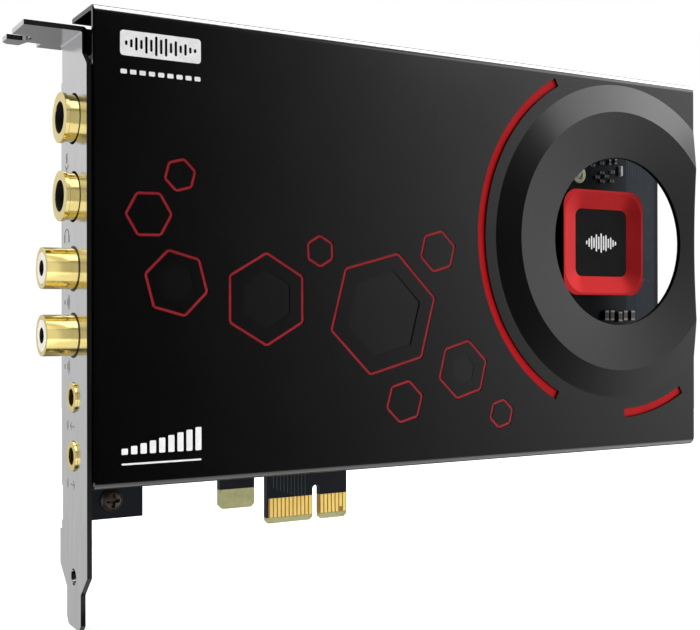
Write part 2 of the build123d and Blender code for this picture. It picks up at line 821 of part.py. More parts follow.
with BuildPart() as power_inductors:
    with BuildSketch(front_plane(board_front)) as bases:
        with Locations(*inductor_places):
            Rectangle(inductor_size, inductor_size)
        chamfer(bases.vertices(), inductor_corner)
    extrude(amount=inductor_height)
    chamfer(power_inductors.edges().group_by(Axis.Y)[0], inductor_bevel)
save(power_inductors, "power_inductors")

with BuildPart() as crystal:
    with BuildSketch(front_plane(board_front)):
        with Locations(crystal_place):
            Rectangle(crystal_length, crystal_width)
    extrude(amount=crystal_height)
    chamfer(crystal.edges().filter_by(Axis.Y), crystal_corner)
save(crystal, "crystal")

with BuildPart() as clock_oscillator:
    with BuildSketch(front_plane(board_front)):
        with Locations(oscillator_place):
            Rectangle(oscillator_size[0], oscillator_size[1])
    extrude(amount=oscillator_size[2])
    chamfer(clock_oscillator.edges().filter_by(Axis.Y), oscillator_bevel)
save(clock_oscillator, "clock_oscillator")

# Pin headers for the case's front sockets and for a second board
header_row = header_pitch * 2
for name, place, columns in (
    ("front_panel_header", front_header_place, front_header_columns),
    ("board_link_header", (link_header_x, board_top - link_header_drop), link_header_columns),
):
    with BuildPart() as header:
        with BuildSketch(front_plane(board_front)):
            with Locations(place):
                Rectangle(columns * header_pitch, header_row)
        extrude(amount=header_base_height)
        with BuildSketch(front_plane(board_front - header_base_height)):
            with Locations(place):
                with GridLocations(header_pitch, header_pitch, columns, 2):
                    Rectangle(header_pin, header_pin)
        extrude(amount=header_pin_height - header_base_height)
    save(header, name)
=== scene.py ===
import json
from math import pi, radians

import bmesh
import bpy
from mathutils import Matrix, Vector

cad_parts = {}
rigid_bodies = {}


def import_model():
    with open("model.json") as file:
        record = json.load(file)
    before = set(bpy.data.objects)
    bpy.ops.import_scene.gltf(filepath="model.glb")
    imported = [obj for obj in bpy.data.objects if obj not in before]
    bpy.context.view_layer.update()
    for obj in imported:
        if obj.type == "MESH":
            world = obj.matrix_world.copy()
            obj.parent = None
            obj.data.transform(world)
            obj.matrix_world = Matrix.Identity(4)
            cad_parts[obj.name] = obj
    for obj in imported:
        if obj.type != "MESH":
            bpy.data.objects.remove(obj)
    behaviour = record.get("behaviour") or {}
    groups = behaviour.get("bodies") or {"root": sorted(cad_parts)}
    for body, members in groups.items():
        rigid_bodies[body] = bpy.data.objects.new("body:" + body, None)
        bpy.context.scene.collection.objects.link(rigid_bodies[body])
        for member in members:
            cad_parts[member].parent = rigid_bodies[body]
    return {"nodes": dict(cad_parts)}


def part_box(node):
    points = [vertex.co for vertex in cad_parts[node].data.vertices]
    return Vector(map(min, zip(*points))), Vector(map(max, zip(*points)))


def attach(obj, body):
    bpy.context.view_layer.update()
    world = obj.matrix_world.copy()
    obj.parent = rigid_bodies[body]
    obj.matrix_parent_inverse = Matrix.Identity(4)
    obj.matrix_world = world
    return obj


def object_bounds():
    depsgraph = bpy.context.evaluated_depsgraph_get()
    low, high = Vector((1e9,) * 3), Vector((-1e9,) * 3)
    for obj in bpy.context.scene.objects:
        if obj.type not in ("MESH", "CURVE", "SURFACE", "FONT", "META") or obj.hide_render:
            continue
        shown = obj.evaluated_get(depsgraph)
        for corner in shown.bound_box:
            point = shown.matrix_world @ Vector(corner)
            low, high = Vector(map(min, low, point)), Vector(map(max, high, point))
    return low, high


for spare in list(bpy.data.objects):
    bpy.data.objects.remove(spare)  # start-up cube, lamp and camera
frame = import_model()
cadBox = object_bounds()
cadNodes = frame["nodes"]
scene = bpy.context.scene
mm = 0.001  # the card's pieces are in millimetres below, and the studio is in metres


def nodeBox(name):
    low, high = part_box(name)
    return low / mm, high / mm


def nodeMiddle(name):
    low, high = nodeBox(name)
    return (low + high) / 2


# planes and middles of the card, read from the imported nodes
layout = {"bracketSheet": 1.0, "crestHeight": 1.0, "standoffHalf": (2.5, 2.165)}
boardLow, boardHigh = nodeBox("circuit_board")
boardFront, boardBack = boardLow.y, boardHigh.y
coverLow = nodeBox("front_cover")[0]
coverFace = coverLow.y + layout["crestHeight"]
bracketInside = nodeBox("phono_housing")[0].x
bracketFace = bracketInside - layout["bracketSheet"]
sinkFace = nodeBox("heat_sink")[0].y
sinkMiddle = nodeMiddle("heat_sink")
fingersLow, fingersHigh = nodeBox("edge_contacts")
print("frame loaded:", len(cadNodes), "nodes")


# finishes

texture = {
    "patchDetail": 4, "patchRoughness": 0.6, "patchSpan": (0.3, 0.7), "grainDetail": 3, "edgeSamples": 4,
}


def addNode(tree, kind, **sockets):
    node = tree.nodes.new(kind)
    for name, value in sockets.items():
        node.inputs[name.replace("_", " ")].default_value = value
    return node


def mathNode(tree, operation, first, second):
    step = tree.nodes.new("ShaderNodeMath")
    step.operation = operation
    for socket, value in zip(step.inputs, (first, second)):
        if isinstance(value, (int, float)):
            socket.default_value = value
        else:
            tree.links.new(value, socket)
    return step.outputs["Value"]


def splitAxes(tree, vector):
    parts = tree.nodes.new("ShaderNodeSeparateXYZ")
    tree.links.new(vector, parts.inputs["Vector"])
    return parts.outputs


def startFinish(name, look):
    finish = bpy.data.materials.new(name)
    finish.use_nodes = True
    tree = finish.node_tree
    shader = tree.nodes["Principled BSDF"]
    shader.inputs["Metallic"].default_value = look.get("metallic", 0)
    shader.inputs["Specular IOR Level"].default_value = look.get("specular", 0.5)
    return finish, tree, shader, tree.nodes.new("ShaderNodeTexCoord")


def patchTone(tree, place, look):
    # soft patches between two tones, stretched where the metal was drawn or brushed
    mapping = addNode(tree, "ShaderNodeMapping", Scale=look.get("stretch", (1, 1, 1)))
    tree.links.new(place.outputs["Object"], mapping.inputs["Vector"])
    patches = addNode(
        tree, "ShaderNodeTexNoise", Scale=look["patch"], Detail=texture["patchDetail"],
        Roughness=texture["patchRoughness"]
    )
    tree.links.new(mapping.outputs["Vector"], patches.inputs["Vector"])
    ramp = tree.nodes.new("ShaderNodeValToRGB")
    stops = zip(ramp.color_ramp.elements, texture["patchSpan"], look["tones"])
    for stop, position, tone in stops:
        stop.position, stop.color = position, (*tone, 1)
    tree.links.new(patches.outputs["Fac"], ramp.inputs["Fac"])
    return patches.outputs["Fac"], ramp.outputs["Color"], mapping.outputs["Vector"]


def grainNormal(tree, grainPlace, shader, look):
    # fine surface grain over slightly eased edges
    scale, strength, depth = look["grain"]
    grain = addNode(tree, "ShaderNodeTexNoise", Scale=scale, Detail=texture["grainDetail"])
    tree.links.new(grainPlace, grain.inputs["Vector"])
    bump = addNode(tree, "ShaderNodeBump", Strength=strength, Distance=depth * mm)
    tree.links.new(grain.outputs["Fac"], bump.inputs["Height"])
    if look.get("edge"):
        eased = addNode(tree, "ShaderNodeBevel", Radius=look["edge"] * mm)
        eased.samples = texture["edgeSamples"]
        tree.links.new(eased.outputs["Normal"], bump.inputs["Normal"])
    tree.links.new(bump.outputs["Normal"], shader.inputs["Normal"])


def roughRange(tree, factor, shader, look):
    spread = addNode(tree, "ShaderNodeMapRange", To_Min=look["rough"][0], To_Max=look["rough"][1])
    tree.links.new(factor, spread.inputs["Value"])
    tree.links.new(spread.outputs["Result"], shader.inputs["Roughness"])


def mixTones(tree, factor, first, second):
    mix = tree.nodes.new("ShaderNodeMixRGB")
    tree.links.new(factor, mix.inputs["Fac"])
    tree.links.new(first, mix.inputs["Color1"])
    tree.links.new(second, mix.inputs["Color2"])
    return mix.outputs["Color"]


def plainFinish(name, look):
    finish, tree, shader, place = startFinish(name, look)
    factor, colour, grainPlace = patchTone(tree, place, look)
    tree.links.new(colour, shader.inputs["Base Color"])
    roughRange(tree, factor, shader, look)
    grainNormal(tree, grainPlace, shader, look)
    return finish


def bandFinish(name, below, above, source, limit, axis):
    # two looks in one node, parted by place or by the way the faces look, along one axis
    finish, tree, shader, place = startFinish(name, below)
    factor, colourBelow, grainPlace = patchTone(tree, place, below)
    colourAbove = patchTone(tree, place, above)[1]
    isAbove = mathNode(tree, "GREATER_THAN", splitAxes(tree, place.outputs[source])[axis], limit)
    colour = mixTones(tree, isAbove, colourBelow, colourAbove)
    tree.links.new(colour, shader.inputs["Base Color"])
    if below.get("metallic", 0) != above.get("metallic", 0):
        metal = addNode(
            tree, "ShaderNodeMapRange", To_Min=below.get("metallic", 0), To_Max=above.get("metallic", 0)
        )
        tree.links.new(isAbove, metal.inputs["Value"])
        tree.links.new(metal.outputs["Result"], shader.inputs["Metallic"])
    roughRange(tree, factor, shader, below)
    grainNormal(tree, grainPlace, shader, below)
    return finish


def grey(level):
    return level, level, level


# tones and scale of soft patches, span of roughness, grain as scale, strength and depth
looks = {
    "coverPaint": {
        "tones": (grey(0.001), grey(0.0018)), "patch": 60, "rough": (0.15, 0.2),
        "grain": (5200, 0.06, 0.02),
    },
    "hexagonRed": {
        "tones": ((0.18, 0.008, 0.013), (0.24, 0.012, 0.019)), "patch": 220, "rough": (0.3, 0.4),
        "specular": 0.15, "grain": (4000, 0.05, 0.02), "edge": 0.1,
    },
    "arcRed": {
        "tones": ((0.3, 0.003, 0.005), (0.36, 0.005, 0.008)), "patch": 160, "rough": (0.3, 0.4),
        "specular": 0.06, "grain": (4000, 0.05, 0.02), "edge": 0.1,
    },
    "bracketSteel": {
        "tones": ((0.64, 0.64, 0.65), (0.7, 0.7, 0.71)), "patch": 90, "rough": (0.14, 0.22),
        "metallic": 1, "stretch": (6, 6, 1), "grain": (700, 0.04, 0.02),
    },
    "jackGold": {
        "tones": ((0.86, 0.69, 0.25), (0.95, 0.79, 0.32)), "patch": 180, "rough": (0.14, 0.2),
        "metallic": 1, "grain": (3000, 0.05, 0.02), "edge": 0.18,
    },
    "fingerGold": {
        "tones": ((0.86, 0.57, 0.14), (0.94, 0.7, 0.23)), "patch": 420, "rough": (0.26, 0.4),
        "metallic": 1, "stretch": (4, 1, 1), "grain": (2400, 0.08, 0.02),
    },
    "frameRed": {
        "tones": ((0.54, 0.019, 0.021), (0.6, 0.024, 0.027)), "patch": 160, "rough": (0.38, 0.46),
        "metallic": 0.7, "specular": 0.2, "grain": (4200, 0.12, 0.02),
    },
    "sinkBlack": {
        "tones": (grey(0.004), grey(0.007)), "patch": 200, "rough": (0.5, 0.62), "specular": 0.04,
        "grain": (5200, 0.25, 0.02), "edge": 0.15,
    },
    "ivoryInsulator": {
        "tones": ((0.74, 0.7, 0.58), (0.84, 0.81, 0.7)), "patch": 260, "rough": (0.35, 0.5),
        "grain": (3000, 0.1, 0.02), "edge": 0.12,
    },
    "springCopper": {
        "tones": ((0.42, 0.16, 0.06), (0.6, 0.28, 0.13)), "patch": 500, "rough": (0.25, 0.4),
        "metallic": 1, "grain": (3000, 0.1, 0.02),
    },
    "standoffBrass": {
        "tones": ((0.52, 0.38, 0.16), (0.64, 0.5, 0.25)), "patch": 300, "rough": (0.24, 0.36),
        "metallic": 1, "stretch": (3, 1, 3), "grain": (2000, 0.1, 0.02), "edge": 0.1,
    },
    "padGrey": {
        "tones": ((0.24, 0.25, 0.29), (0.3, 0.31, 0.35)), "patch": 600, "rough": (0.7, 0.85),
        "grain": (3500, 0.4, 0.04),
    },
    "linkGrey": {
        "tones": ((0.42, 0.43, 0.45), (0.52, 0.53, 0.55)), "patch": 600, "rough": (0.5, 0.65),
        "grain": (3500, 0.2, 0.03), "edge": 0.08,
    },
    "relayShell": {
        "tones": ((0.62, 0.6, 0.52), (0.7, 0.68, 0.6)), "patch": 160, "rough": (0.35, 0.5),
        "grain": (3800, 0.15, 0.02), "edge": 0.2,
    },
    "ferriteGrey": {
        "tones": ((0.05, 0.05, 0.055), (0.1, 0.1, 0.105)), "patch": 1600, "rough": (0.6, 0.8),
        "grain": (5000, 0.6, 0.05), "edge": 0.15,
    },
    "drawnCan": {
        "tones": ((0.58, 0.58, 0.59), (0.7, 0.7, 0.71)), "patch": 160, "rough": (0.2, 0.32),
        "metallic": 1, "stretch": (1, 4, 1), "grain": (2600, 0.06, 0.02), "edge": 0.25,
    },
    "screwBlack": {
        "tones": ((0.035, 0.025, 0.02), (0.06, 0.044, 0.036)), "patch": 900, "rough": (0.3, 0.45),
        "metallic": 0.6, "grain": (5000, 0.2, 0.02), "edge": 0.1,
    },
    "whitePrint": {
        "tones": (grey(0.55), grey(0.64)), "patch": 500, "rough": (0.5, 0.65), "grain": (4000, 0.1, 0.01),
    },
    "greyPrint": {
        "tones": ((0.2, 0.2, 0.21), (0.28, 0.28, 0.29)), "patch": 500, "rough": (0.5, 0.65),
        "grain": (4000, 0.1, 0.01),
    },
    "ceramicDark": {
        "tones": (grey(0.012), (0.03, 0.026, 0.024)), "patch": 1500, "rough": (0.35, 0.5),
        "specular": 0.3, "grain": (6000, 0.2, 0.02), "edge": 0.06,
    },
    "ceramicBrown": {
        "tones": ((0.05, 0.034, 0.028), (0.08, 0.058, 0.048)), "patch": 1500, "rough": (0.35, 0.5),
        "specular": 0.3, "grain": (6000, 0.2, 0.02), "edge": 0.06,
    },
    "eyeletGold": {
        "tones": ((0.9, 0.85, 0.56), (0.96, 0.92, 0.64)), "patch": 500, "rough": (0.3, 0.4),
        "metallic": 0.1, "grain": (3000, 0.1, 0.02), "edge": 0.08,
    },
    "solderPale": {
        "tones": ((0.56, 0.54, 0.38), (0.66, 0.64, 0.48)), "patch": 700, "rough": (0.4, 0.55),
        "metallic": 0.3, "grain": (3000, 0.15, 0.02),
    },
    "tinEnd": {
        "tones": (grey(0.16), (0.26, 0.255, 0.245)), "patch": 900, "rough": (0.4, 0.55), "metallic": 0.7,
        "grain": (6000, 0.2, 0.02), "edge": 0.06,
    },
    "tinPlate": {
        "tones": (grey(0.5), (0.68, 0.67, 0.65)), "patch": 900, "rough": (0.22, 0.4), "metallic": 1,
        "grain": (6000, 0.2, 0.02), "edge": 0.06,
    },
    "blackMoulding": {
        "tones": (grey(0.008), grey(0.014)), "patch": 260, "rough": (0.42, 0.58),
        "grain": (5200, 0.25, 0.03), "edge": 0.12,
    },
    "chipMoulding": {
        "tones": ((0.009, 0.009, 0.01), (0.018, 0.018, 0.019)), "patch": 400, "rough": (0.5, 0.66),
        "grain": (7000, 0.35, 0.03), "edge": 0.1,
    },
    "traceMask": {
        "tones": ((0.02, 0.026, 0.034), (0.027, 0.035, 0.045)), "patch": 300, "rough": (0.34, 0.44),
        "specular": 0.25, "grain": (3000, 0.05, 0.02),
    },
    # painted light: paler mask for the patch of board where light falls through the window
    "litPatchMask": {
        "tones": ((0.014, 0.019, 0.027), (0.019, 0.026, 0.036)), "patch": 120, "rough": (0.34, 0.44),
        "specular": 0.1, "grain": (3000, 0.05, 0.02),
    },
}
finishes = {name: plainFinish(name, look) for name, look in looks.items()}
# painted shade: near-black steel for the bracket's faces turned to the front, its cut edge among them
looks["paintedEdgeShade"] = {**looks["bracketSteel"], "tones": (grey(0.012), grey(0.02))}
bands = {
    "headerBase": 2.5, "canBase": 1.4, "regulatorTab": 0.16, "facingSide": -0.3, "facingEdgeShade": -0.9,
    "facingBoreShade": -0.5,
}
bandedLooks = {
    "headerPins": ("jackGold", "blackMoulding", "Object", (boardFront - bands["headerBase"]) * mm, "Y"),
    "capacitorCan": ("drawnCan", "blackMoulding", "Object", (boardFront - bands["canBase"]) * mm, "Y"),
    "regulatorCase": ("chipMoulding", "tinPlate", "Object", (boardFront - bands["regulatorTab"]) * mm, "Y"),
    "frameRedFront": ("frameRed", "sinkBlack", "Normal", bands["facingSide"], "Y"),
    # painted shade: bracket faces turned towards the front (normal Y below the limit) get the near-black
    # steel
    "bracketSheet": ("paintedEdgeShade", "bracketSteel", "Normal", bands["facingEdgeShade"], "Y"),
    # painted shade: every face of the phono insulators but the outward one is black moulding, so the bore
    # reads as a dark hole
    "insulatorFaceBoreShade": ("ivoryInsulator", "blackMoulding", "Normal", bands["facingBoreShade"], "X"),
}
for name, (below, above, source, limit, axis) in bandedLooks.items():
    finishes[name] = bandFinish(name, looks[below], looks[above], source, limit, axis)

boardLook = {
    "mask": {"tones": ((0.004, 0.0055, 0.008), (0.006, 0.0085, 0.012)), "patch": 120},
    "bare": {"tones": ((0.3, 0.29, 0.14), (0.38, 0.37, 0.19)), "patch": 700},
    "goldBase": {"tones": ((0.26, 0.15, 0.028), (0.34, 0.2, 0.04)), "patch": 500},
    "specular": 0.1, "rough": (0.3, 0.4), "fingerStrip": 1.35, "fingerMargin": 0.35,
    "blankStrip": 8.6, "blankLeft": -26, "blankRight": -14, "grain": (1500, 0.08, 0.02),
}


def boardFinish(look):
    # dark blue-grey mask, with bare woven laminate on the blank tab and along the connector's edge,
    # and a gold-brown ground between the connector's fingers
    finish, tree, shader, place = startFinish("solderMask", look)
    factor, maskColour, grainPlace = patchTone(tree, place, look["mask"])
    bareColour = patchTone(tree, place, look["bare"])[1]
    goldColour = patchTone(tree, place, look["goldBase"])[1]
    axes = splitAxes(tree, place.outputs["Object"])

    def below(axis, limit):
        return mathNode(tree, "LESS_THAN", axes[axis], limit * mm)

    def zone(left, right, top):
        across = mathNode(tree, "GREATER_THAN", axes["X"], left * mm)
        across = mathNode(tree, "MULTIPLY", across, below("X", right))
        return mathNode(tree, "MULTIPLY", across, below("Z", top))

    margin = look["fingerMargin"]
    goldZone = zone(fingersLow.x - margin, fingersHigh.x + margin, fingersHigh.z)
    blankZone = zone(look["blankLeft"], look["blankRight"], look["blankStrip"])
    bareZone = mathNode(tree, "MAXIMUM", blankZone, below("Z", look["fingerStrip"]))
    colour = mixTones(tree, goldZone, maskColour, goldColour)
    colour = mixTones(tree, bareZone, colour, bareColour)
    tree.links.new(colour, shader.inputs["Base Color"])
    roughRange(tree, factor, shader, look)
    grainNormal(tree, grainPlace, shader, look)
    return finish


finishes["solderMask"] = boardFinish(boardLook)

largeJacks = ["microphone_jack", "headphone_jack"]
smallJacks = ["line_jack_upper", "line_jack_lower"]
phonoJacks = ["phono_jack_right", "phono_jack_left"]
plugJacks = largeJacks + smallJacks
nodeFinishes = {
    "coverPaint": ["front_cover"],
    "arcRed": ["arc_inlays"],
    "hexagonRed": ["hexagon_inlays"],
    "bracketSheet": ["bracket", "bracket_screw_ledge"],
    "solderMask": ["circuit_board"],
    "fingerGold": ["edge_contacts"],
    "jackGold": [jack + "_bushing" for jack in plugJacks] + [jack + "_shell" for jack in phonoJacks],
    "springCopper": [jack + "_contacts" for jack in plugJacks] + [jack + "_contact" for jack in phonoJacks],
    "blackMoulding": [jack + "_body" for jack in plugJacks] + ["phono_housing", "amplifier_sockets"],
    "headerPins": ["front_panel_header", "board_link_header"],
    "insulatorFaceBoreShade": [jack + "_insulator" for jack in phonoJacks],
    "standoffBrass": ["cover_standoffs"],
    "sinkBlack": ["heat_sink"],
    "frameRedFront": ["heat_sink_frame"],
    "padGrey": ["thermal_pad"],
    "chipMoulding": ["audio_processor", "amplifier_chips", "converter_chips", "memory_chip"],
    "regulatorCase": ["voltage_regulators"],
    "capacitorCan": ["electrolytic_capacitors"],
    "drawnCan": ["crystal", "clock_oscillator"],
    "relayShell": ["signal_relays"],
    "ferriteGrey": ["power_inductors"],
}
for finishName, names in nodeFinishes.items():
    for name in names:
        cadNodes[name].data.materials.clear()
        cadNodes[name].data.materials.append(finishes[finishName])
print("finishes on", sum(len(names) for names in nodeFinishes.values()), "nodes")


# modelling helpers

softAngle = 35  # edges sharper than this stay crisp
mergeGap = {"turned": 0.001, "strokes": 0.0005}  # points nearer than this become one


def meshFrom(name, shape):
    bmesh.ops.scale(shape, vec=(mm, mm, mm), verts=shape.verts)
    mesh = bpy.data.meshes.new(name)
    shape.to_mesh(mesh)
    shape.free()
    return mesh


def softenFaces(mesh, angle):
    mesh.polygons.foreach_set("use_smooth", [True] * len(mesh.polygons))
    mesh.set_sharp_from_angle(angle=radians(angle))


def makePiece(name, shape, finishName, smoothAngle=None):
    mesh = meshFrom(name, shape)
    mesh.materials.append(finishes[finishName])
    if smoothAngle:
        softenFaces(mesh, smoothAngle)
    piece = bpy.data.objects.new(name, mesh)
    scene.collection.objects.link(piece)
    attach(piece, "root")
    return piece


def addBox(shape, centre, size, bevel=0, along=None, segments=2):
    # block with eased edges, all of them or only those along one axis
    place = Matrix.Translation(centre) @ Matrix.Diagonal((*size, 1))
    verts = bmesh.ops.create_cube(shape, size=1, matrix=place)["verts"]
    if not bevel:
        return
    edges = {edge for vert in verts for edge in vert.link_edges}
    if along is not None:
        longEnough = 0.5 * size[along]
        edges = {edge for edge in edges if abs((edge.verts[0].co - edge.verts[1].co)[along]) > longEnough}
    bmesh.ops.bevel(
        shape, geom=list(edges), offset=bevel, segments=segments, profile=0.5, affect="EDGES", material=-1
    )


def addTurned(shape, profile, place, steps, closed=False):
    # profile of (radius, y) points turned about an axis through place (x, z) along Y
    x, z = place
    verts = [shape.verts.new((x + radius, y, z)) for radius, y in profile]
    pairs = list(zip(verts, verts[1:])) + ([(verts[-1], verts[0])] if closed else [])
    edges = [shape.edges.new(pair) for pair in pairs]
    bmesh.ops.spin(
        shape, geom=verts + edges, cent=(x, 0, z), axis=(0, 1, 0), angle=2 * pi, steps=steps, use_merge=True
    )


def ringProfile(inner, outer, near, far, ease=0):
    # closed outline of a ring between two levels, its far outer edge sloped
    return [(inner, near), (inner, far), (outer - ease, far), (outer, near)]


def closeTurned(shape):
    bmesh.ops.remove_doubles(shape, verts=shape.verts, dist=mergeGap["turned"])
    bmesh.ops.recalc_face_normals(shape, faces=shape.faces)


def rowPlaces(middle, pitch, columns, rows=1, rowPitch=0):
    # places of a regular grid about a middle (x, z)
    return [
        (middle[0] + (column - (columns - 1) / 2) * pitch, middle[1] + (row - (rows - 1) / 2) * rowPitch)
        for column in range(columns) for row in range(rows)
    ]


def flat(point):
    return point.x, point.z


def besideSink(offsets):
    return [(sinkMiddle.x + x, sinkMiddle.z + z) for x, z in offsets]


# screws: two hold the bracket, four hold the cover from behind

standoffLow, standoffHigh = nodeBox("cover_standoffs")
halfX, halfZ = layout["standoffHalf"]
screws = {
    "bracketPlaces": [(bracketFace + 9.7, 8.4), (bracketFace + 5.9, 98.8)],
    "coverPlaces": [
        (x, z) for x in (standoffLow.x + halfX, standoffHigh.x - halfX)
        for z in (standoffLow.z + halfZ, standoffHigh.z - halfZ)
    ],
    "rim": 2.4, "height": 1.5, "flange": 0.5, "dome": 1.7, "shank": 1.2, "point": 0.9, "shankEnd": 2.2,
    "crown": [(0, 1), (0.55, 0.97), (1, 0.82)],  # shares of the dome's radius and the height
    "rimEase": 0.25, "shoulder": 0.12, "lip": 0.1, "pointLength": 0.3, "steps": 32,
    "recessLength": 2.9, "recessWidth": 0.8, "recessDepth": 1.0, "recessAbove": 0.4, "recessStagger": 1.01,
}


def panHead(y, outward):
    rim, height, dome, flange = screws["rim"], screws["height"], screws["dome"], screws["flange"]
    crown = [(share * dome, y + outward * height * rise) for share, rise in screws["crown"]]
    return crown + [
        (rim - screws["rimEase"], y + outward * (flange + screws["shoulder"])),
        (rim, y + outward * (flange - screws["lip"])), (rim, y),
    ]


screwShape = bmesh.new()
shank, shankEnd = screws["shank"], screws["shankEnd"]
tip = [
    (shank, boardFront), (shank, shankEnd - screws["pointLength"]), (screws["point"], shankEnd),
    (0, shankEnd),
]
for place in screws["bracketPlaces"]:
    addTurned(screwShape, panHead(boardFront, -1) + tip, place, screws["steps"])
for place in screws["coverPlaces"]:
    addTurned(screwShape, panHead(boardBack, 1) + [(0, boardBack)], place, screws["steps"])
closeTurned(screwShape)
screwHeads = makePiece("screw_heads", screwShape, "screwBlack")

recessShape = bmesh.new()
long, wide = screws["recessLength"], screws["recessWidth"]
deep = screws["recessDepth"] + screws["recessAbove"]
for places, y, outward in ((screws["bracketPlaces"], boardFront, -1), (screws["coverPlaces"], boardBack, 1)):
    for x, z in places:
        depth = y + outward * (screws["height"] - screws["recessDepth"] / 2 + screws["recessAbove"] / 2)
        addBox(recessShape, (x, depth, z), (long, deep, wide))
        addBox(recessShape, (x, depth, z), (wide, deep * screws["recessStagger"], long))
recessMesh = meshFrom("screw_recess", recessShape)
recessCutter = bpy.data.objects.new("screw_recess", recessMesh)
scene.collection.objects.link(recessCutter)
cut = screwHeads.modifiers.new("recess", "BOOLEAN")
cut.object = recessCutter
cut.use_self = True
cutMesh = bpy.data.meshes.new_from_object(screwHeads.evaluated_get(bpy.context.evaluated_depsgraph_get()))
screwHeads.modifiers.clear()
screwHeads.data = cutMesh
bpy.data.objects.remove(recessCutter)
softenFaces(cutMesh, softAngle)
print("screws:", len(cutMesh.polygons), "faces")


# small parts on the board's component side

eyelet = {
    "place": besideSink([(-0.5, 18.7)])[0], "radius": 2.4, "bore": 1.3, "height": 0.35, "steps": 40,
    "boreEase": 0.1, "rimEase": (0.2, 0.15), "fillSteps": 24,
    "fill": [(0, 0.2), (0.7, 0.14), (1, 0.05), (1, 0), (0, 0)],  # shares of the bore, and rise off the board
}
eyeletShape = bmesh.new()
rimY, bore, rim = boardFront - eyelet["height"], eyelet["bore"], eyelet["radius"]
ease, (easeIn, easeDown) = eyelet["boreEase"], eyelet["rimEase"]
addTurned(eyeletShape, [
    (bore, boardFront), (bore, rimY + ease), (bore + ease, rimY), (rim - easeIn, rimY),
    (rim, rimY + easeDown), (rim, boardFront),
], eyelet["place"], eyelet["steps"], closed=True)
closeTurned(eyeletShape)
makePiece("eyelet_ring", eyeletShape, "eyeletGold", softAngle)
centreShape = bmesh.new()
fill = [(share * bore, boardFront - rise) for share, rise in eyelet["fill"]]
addTurned(centreShape, fill, eyelet["place"], eyelet["fillSteps"])
closeTurned(centreShape)
makePiece("eyelet_centre", centreShape, "solderPale", softAngle)

passives = {
    "small": {"length": 1.35, "width": 0.75, "height": 0.5, "end": 0.3},
    "large": {"length": 2.6, "width": 1.35, "height": 0.9, "end": 0.5},
    "endWider": 1.05, "endTaller": 1.06, "endEdge": 0.05,
    "across": besideSink([
        (4.3, 21.3), (7.5, 22.2), (7.5, 19.6), (11.2, 20.0), (5.8, 18.3), (9.0, 18.7), (7.5, 17.3),
        (11.0, 17.5), (5.6, 23.4),
    ]) + [(60, 66), (60, 62), (46, 62), (46, 58), (38, 74), (5, 46), (70, 93)],
    "upright": besideSink([(10.3, 22.6), (12.4, 22.9)]) + [
        (41.5, 74), (24, 57), (24, 53), (3, 60), (45, 24), (48, 24), (95.5, 34), (97.5, 34), (96, 94),
    ],
    "largeUpright": besideSink([
        (8.75, -18.8), (10.65, -18.8), (13.55, -19.1), (15.45, -18.8), (18.15, -18.8),
    ]),
}


def addPassive(bodyShape, endShape, place, size, upright):
    x, z = place
    length, width, height, end = size["length"], size["width"], size["height"], size["end"]
    y = boardFront - height / 2
    axis = 2 if upright else 0
    wider = width * passives["endWider"]
    body, cap, shift = [width, height, width], [wider, height * passives["endTaller"], wider], [0, 0, 0]
    body[axis], cap[axis], shift[axis] = length - 2 * end, end, (length - end) / 2
    addBox(bodyShape, (x, y, z), body)
    for side in (-1, 1):
        centre = (x + side * shift[0], y, z + side * shift[2])
        addBox(endShape, centre, cap, passives["endEdge"], None, 1)


smallBodies, largeBodies, ends = bmesh.new(), bmesh.new(), bmesh.new()
for upright, places in ((False, passives["across"]), (True, passives["upright"])):
    for place in places:
        addPassive(smallBodies, ends, place, passives["small"], upright)
for place in passives["largeUpright"]:
    addPassive(largeBodies, ends, place, passives["large"], True)
makePiece("resistor_bodies", smallBodies, "ceramicDark")
makePiece("ceramic_bodies", largeBodies, "ceramicBrown")
makePiece("passive_ends", ends, "tinEnd")

link = {"place": besideSink([(14.1, 20.4)])[0], "size": (0.75, 1.0, 2.7), "edge": 0.12}
linkShape = bmesh.new()
linkX, linkZ = link["place"]
addBox(linkShape, (linkX, boardFront - link["size"][1] / 2, linkZ), link["size"], link["edge"])
makePiece("grey_link", linkShape, "linkGrey")
print("passives placed")


# chip leads, socket legs and marks on the packages

converterLow, converterHigh = nodeBox("converter_chips")
regulatorLow, regulatorHigh = nodeBox("voltage_regulators")
amplifierMiddle = flat(nodeMiddle("amplifier_chips"))
amplifierFace = nodeBox("amplifier_chips")[0].y
leads = {
    "width": 0.32, "reach": 1.1, "foot": 0.16, "knee": 0.8, "kneeShare": 0.3,
    "converterHalf": 5.0, "converterCount": 11, "converterPitch": 0.8,
    "memoryHalf": 2.0, "memoryCount": 4, "memoryPitch": 1.27, "memoryWidth": 0.42,
    "regulatorStep": 12.0, "regulatorHalf": 1.75, "regulatorPitch": 2.2, "regulatorWidth": 0.7,
    "regulatorCount": 3, "regulatorLeads": 3,
    "amplifierStep": (14.0, 15.0), "amplifierRow": 3.6, "amplifierPitch": 2.54,
    "amplifierLeg": (0.9, 2.1, 0.25), "amplifierLegDrop": 2.45, "amplifierLegEdge": 0.08, "amplifierPins": 4,
}
converterHalf = leads["converterHalf"]
converterPlaces = [
    (converterLow.x + converterHalf, converterHigh.z - converterHalf),
    (converterHigh.x - converterHalf, converterLow.z + converterHalf),
]
regulatorRow = ((regulatorLow.x + regulatorHigh.x) / 2, regulatorLow.z + leads["regulatorHalf"])
stepX, stepZ = leads["amplifierStep"]
amplifierPlaces = rowPlaces(amplifierMiddle, stepX, 2, 2, stepZ)


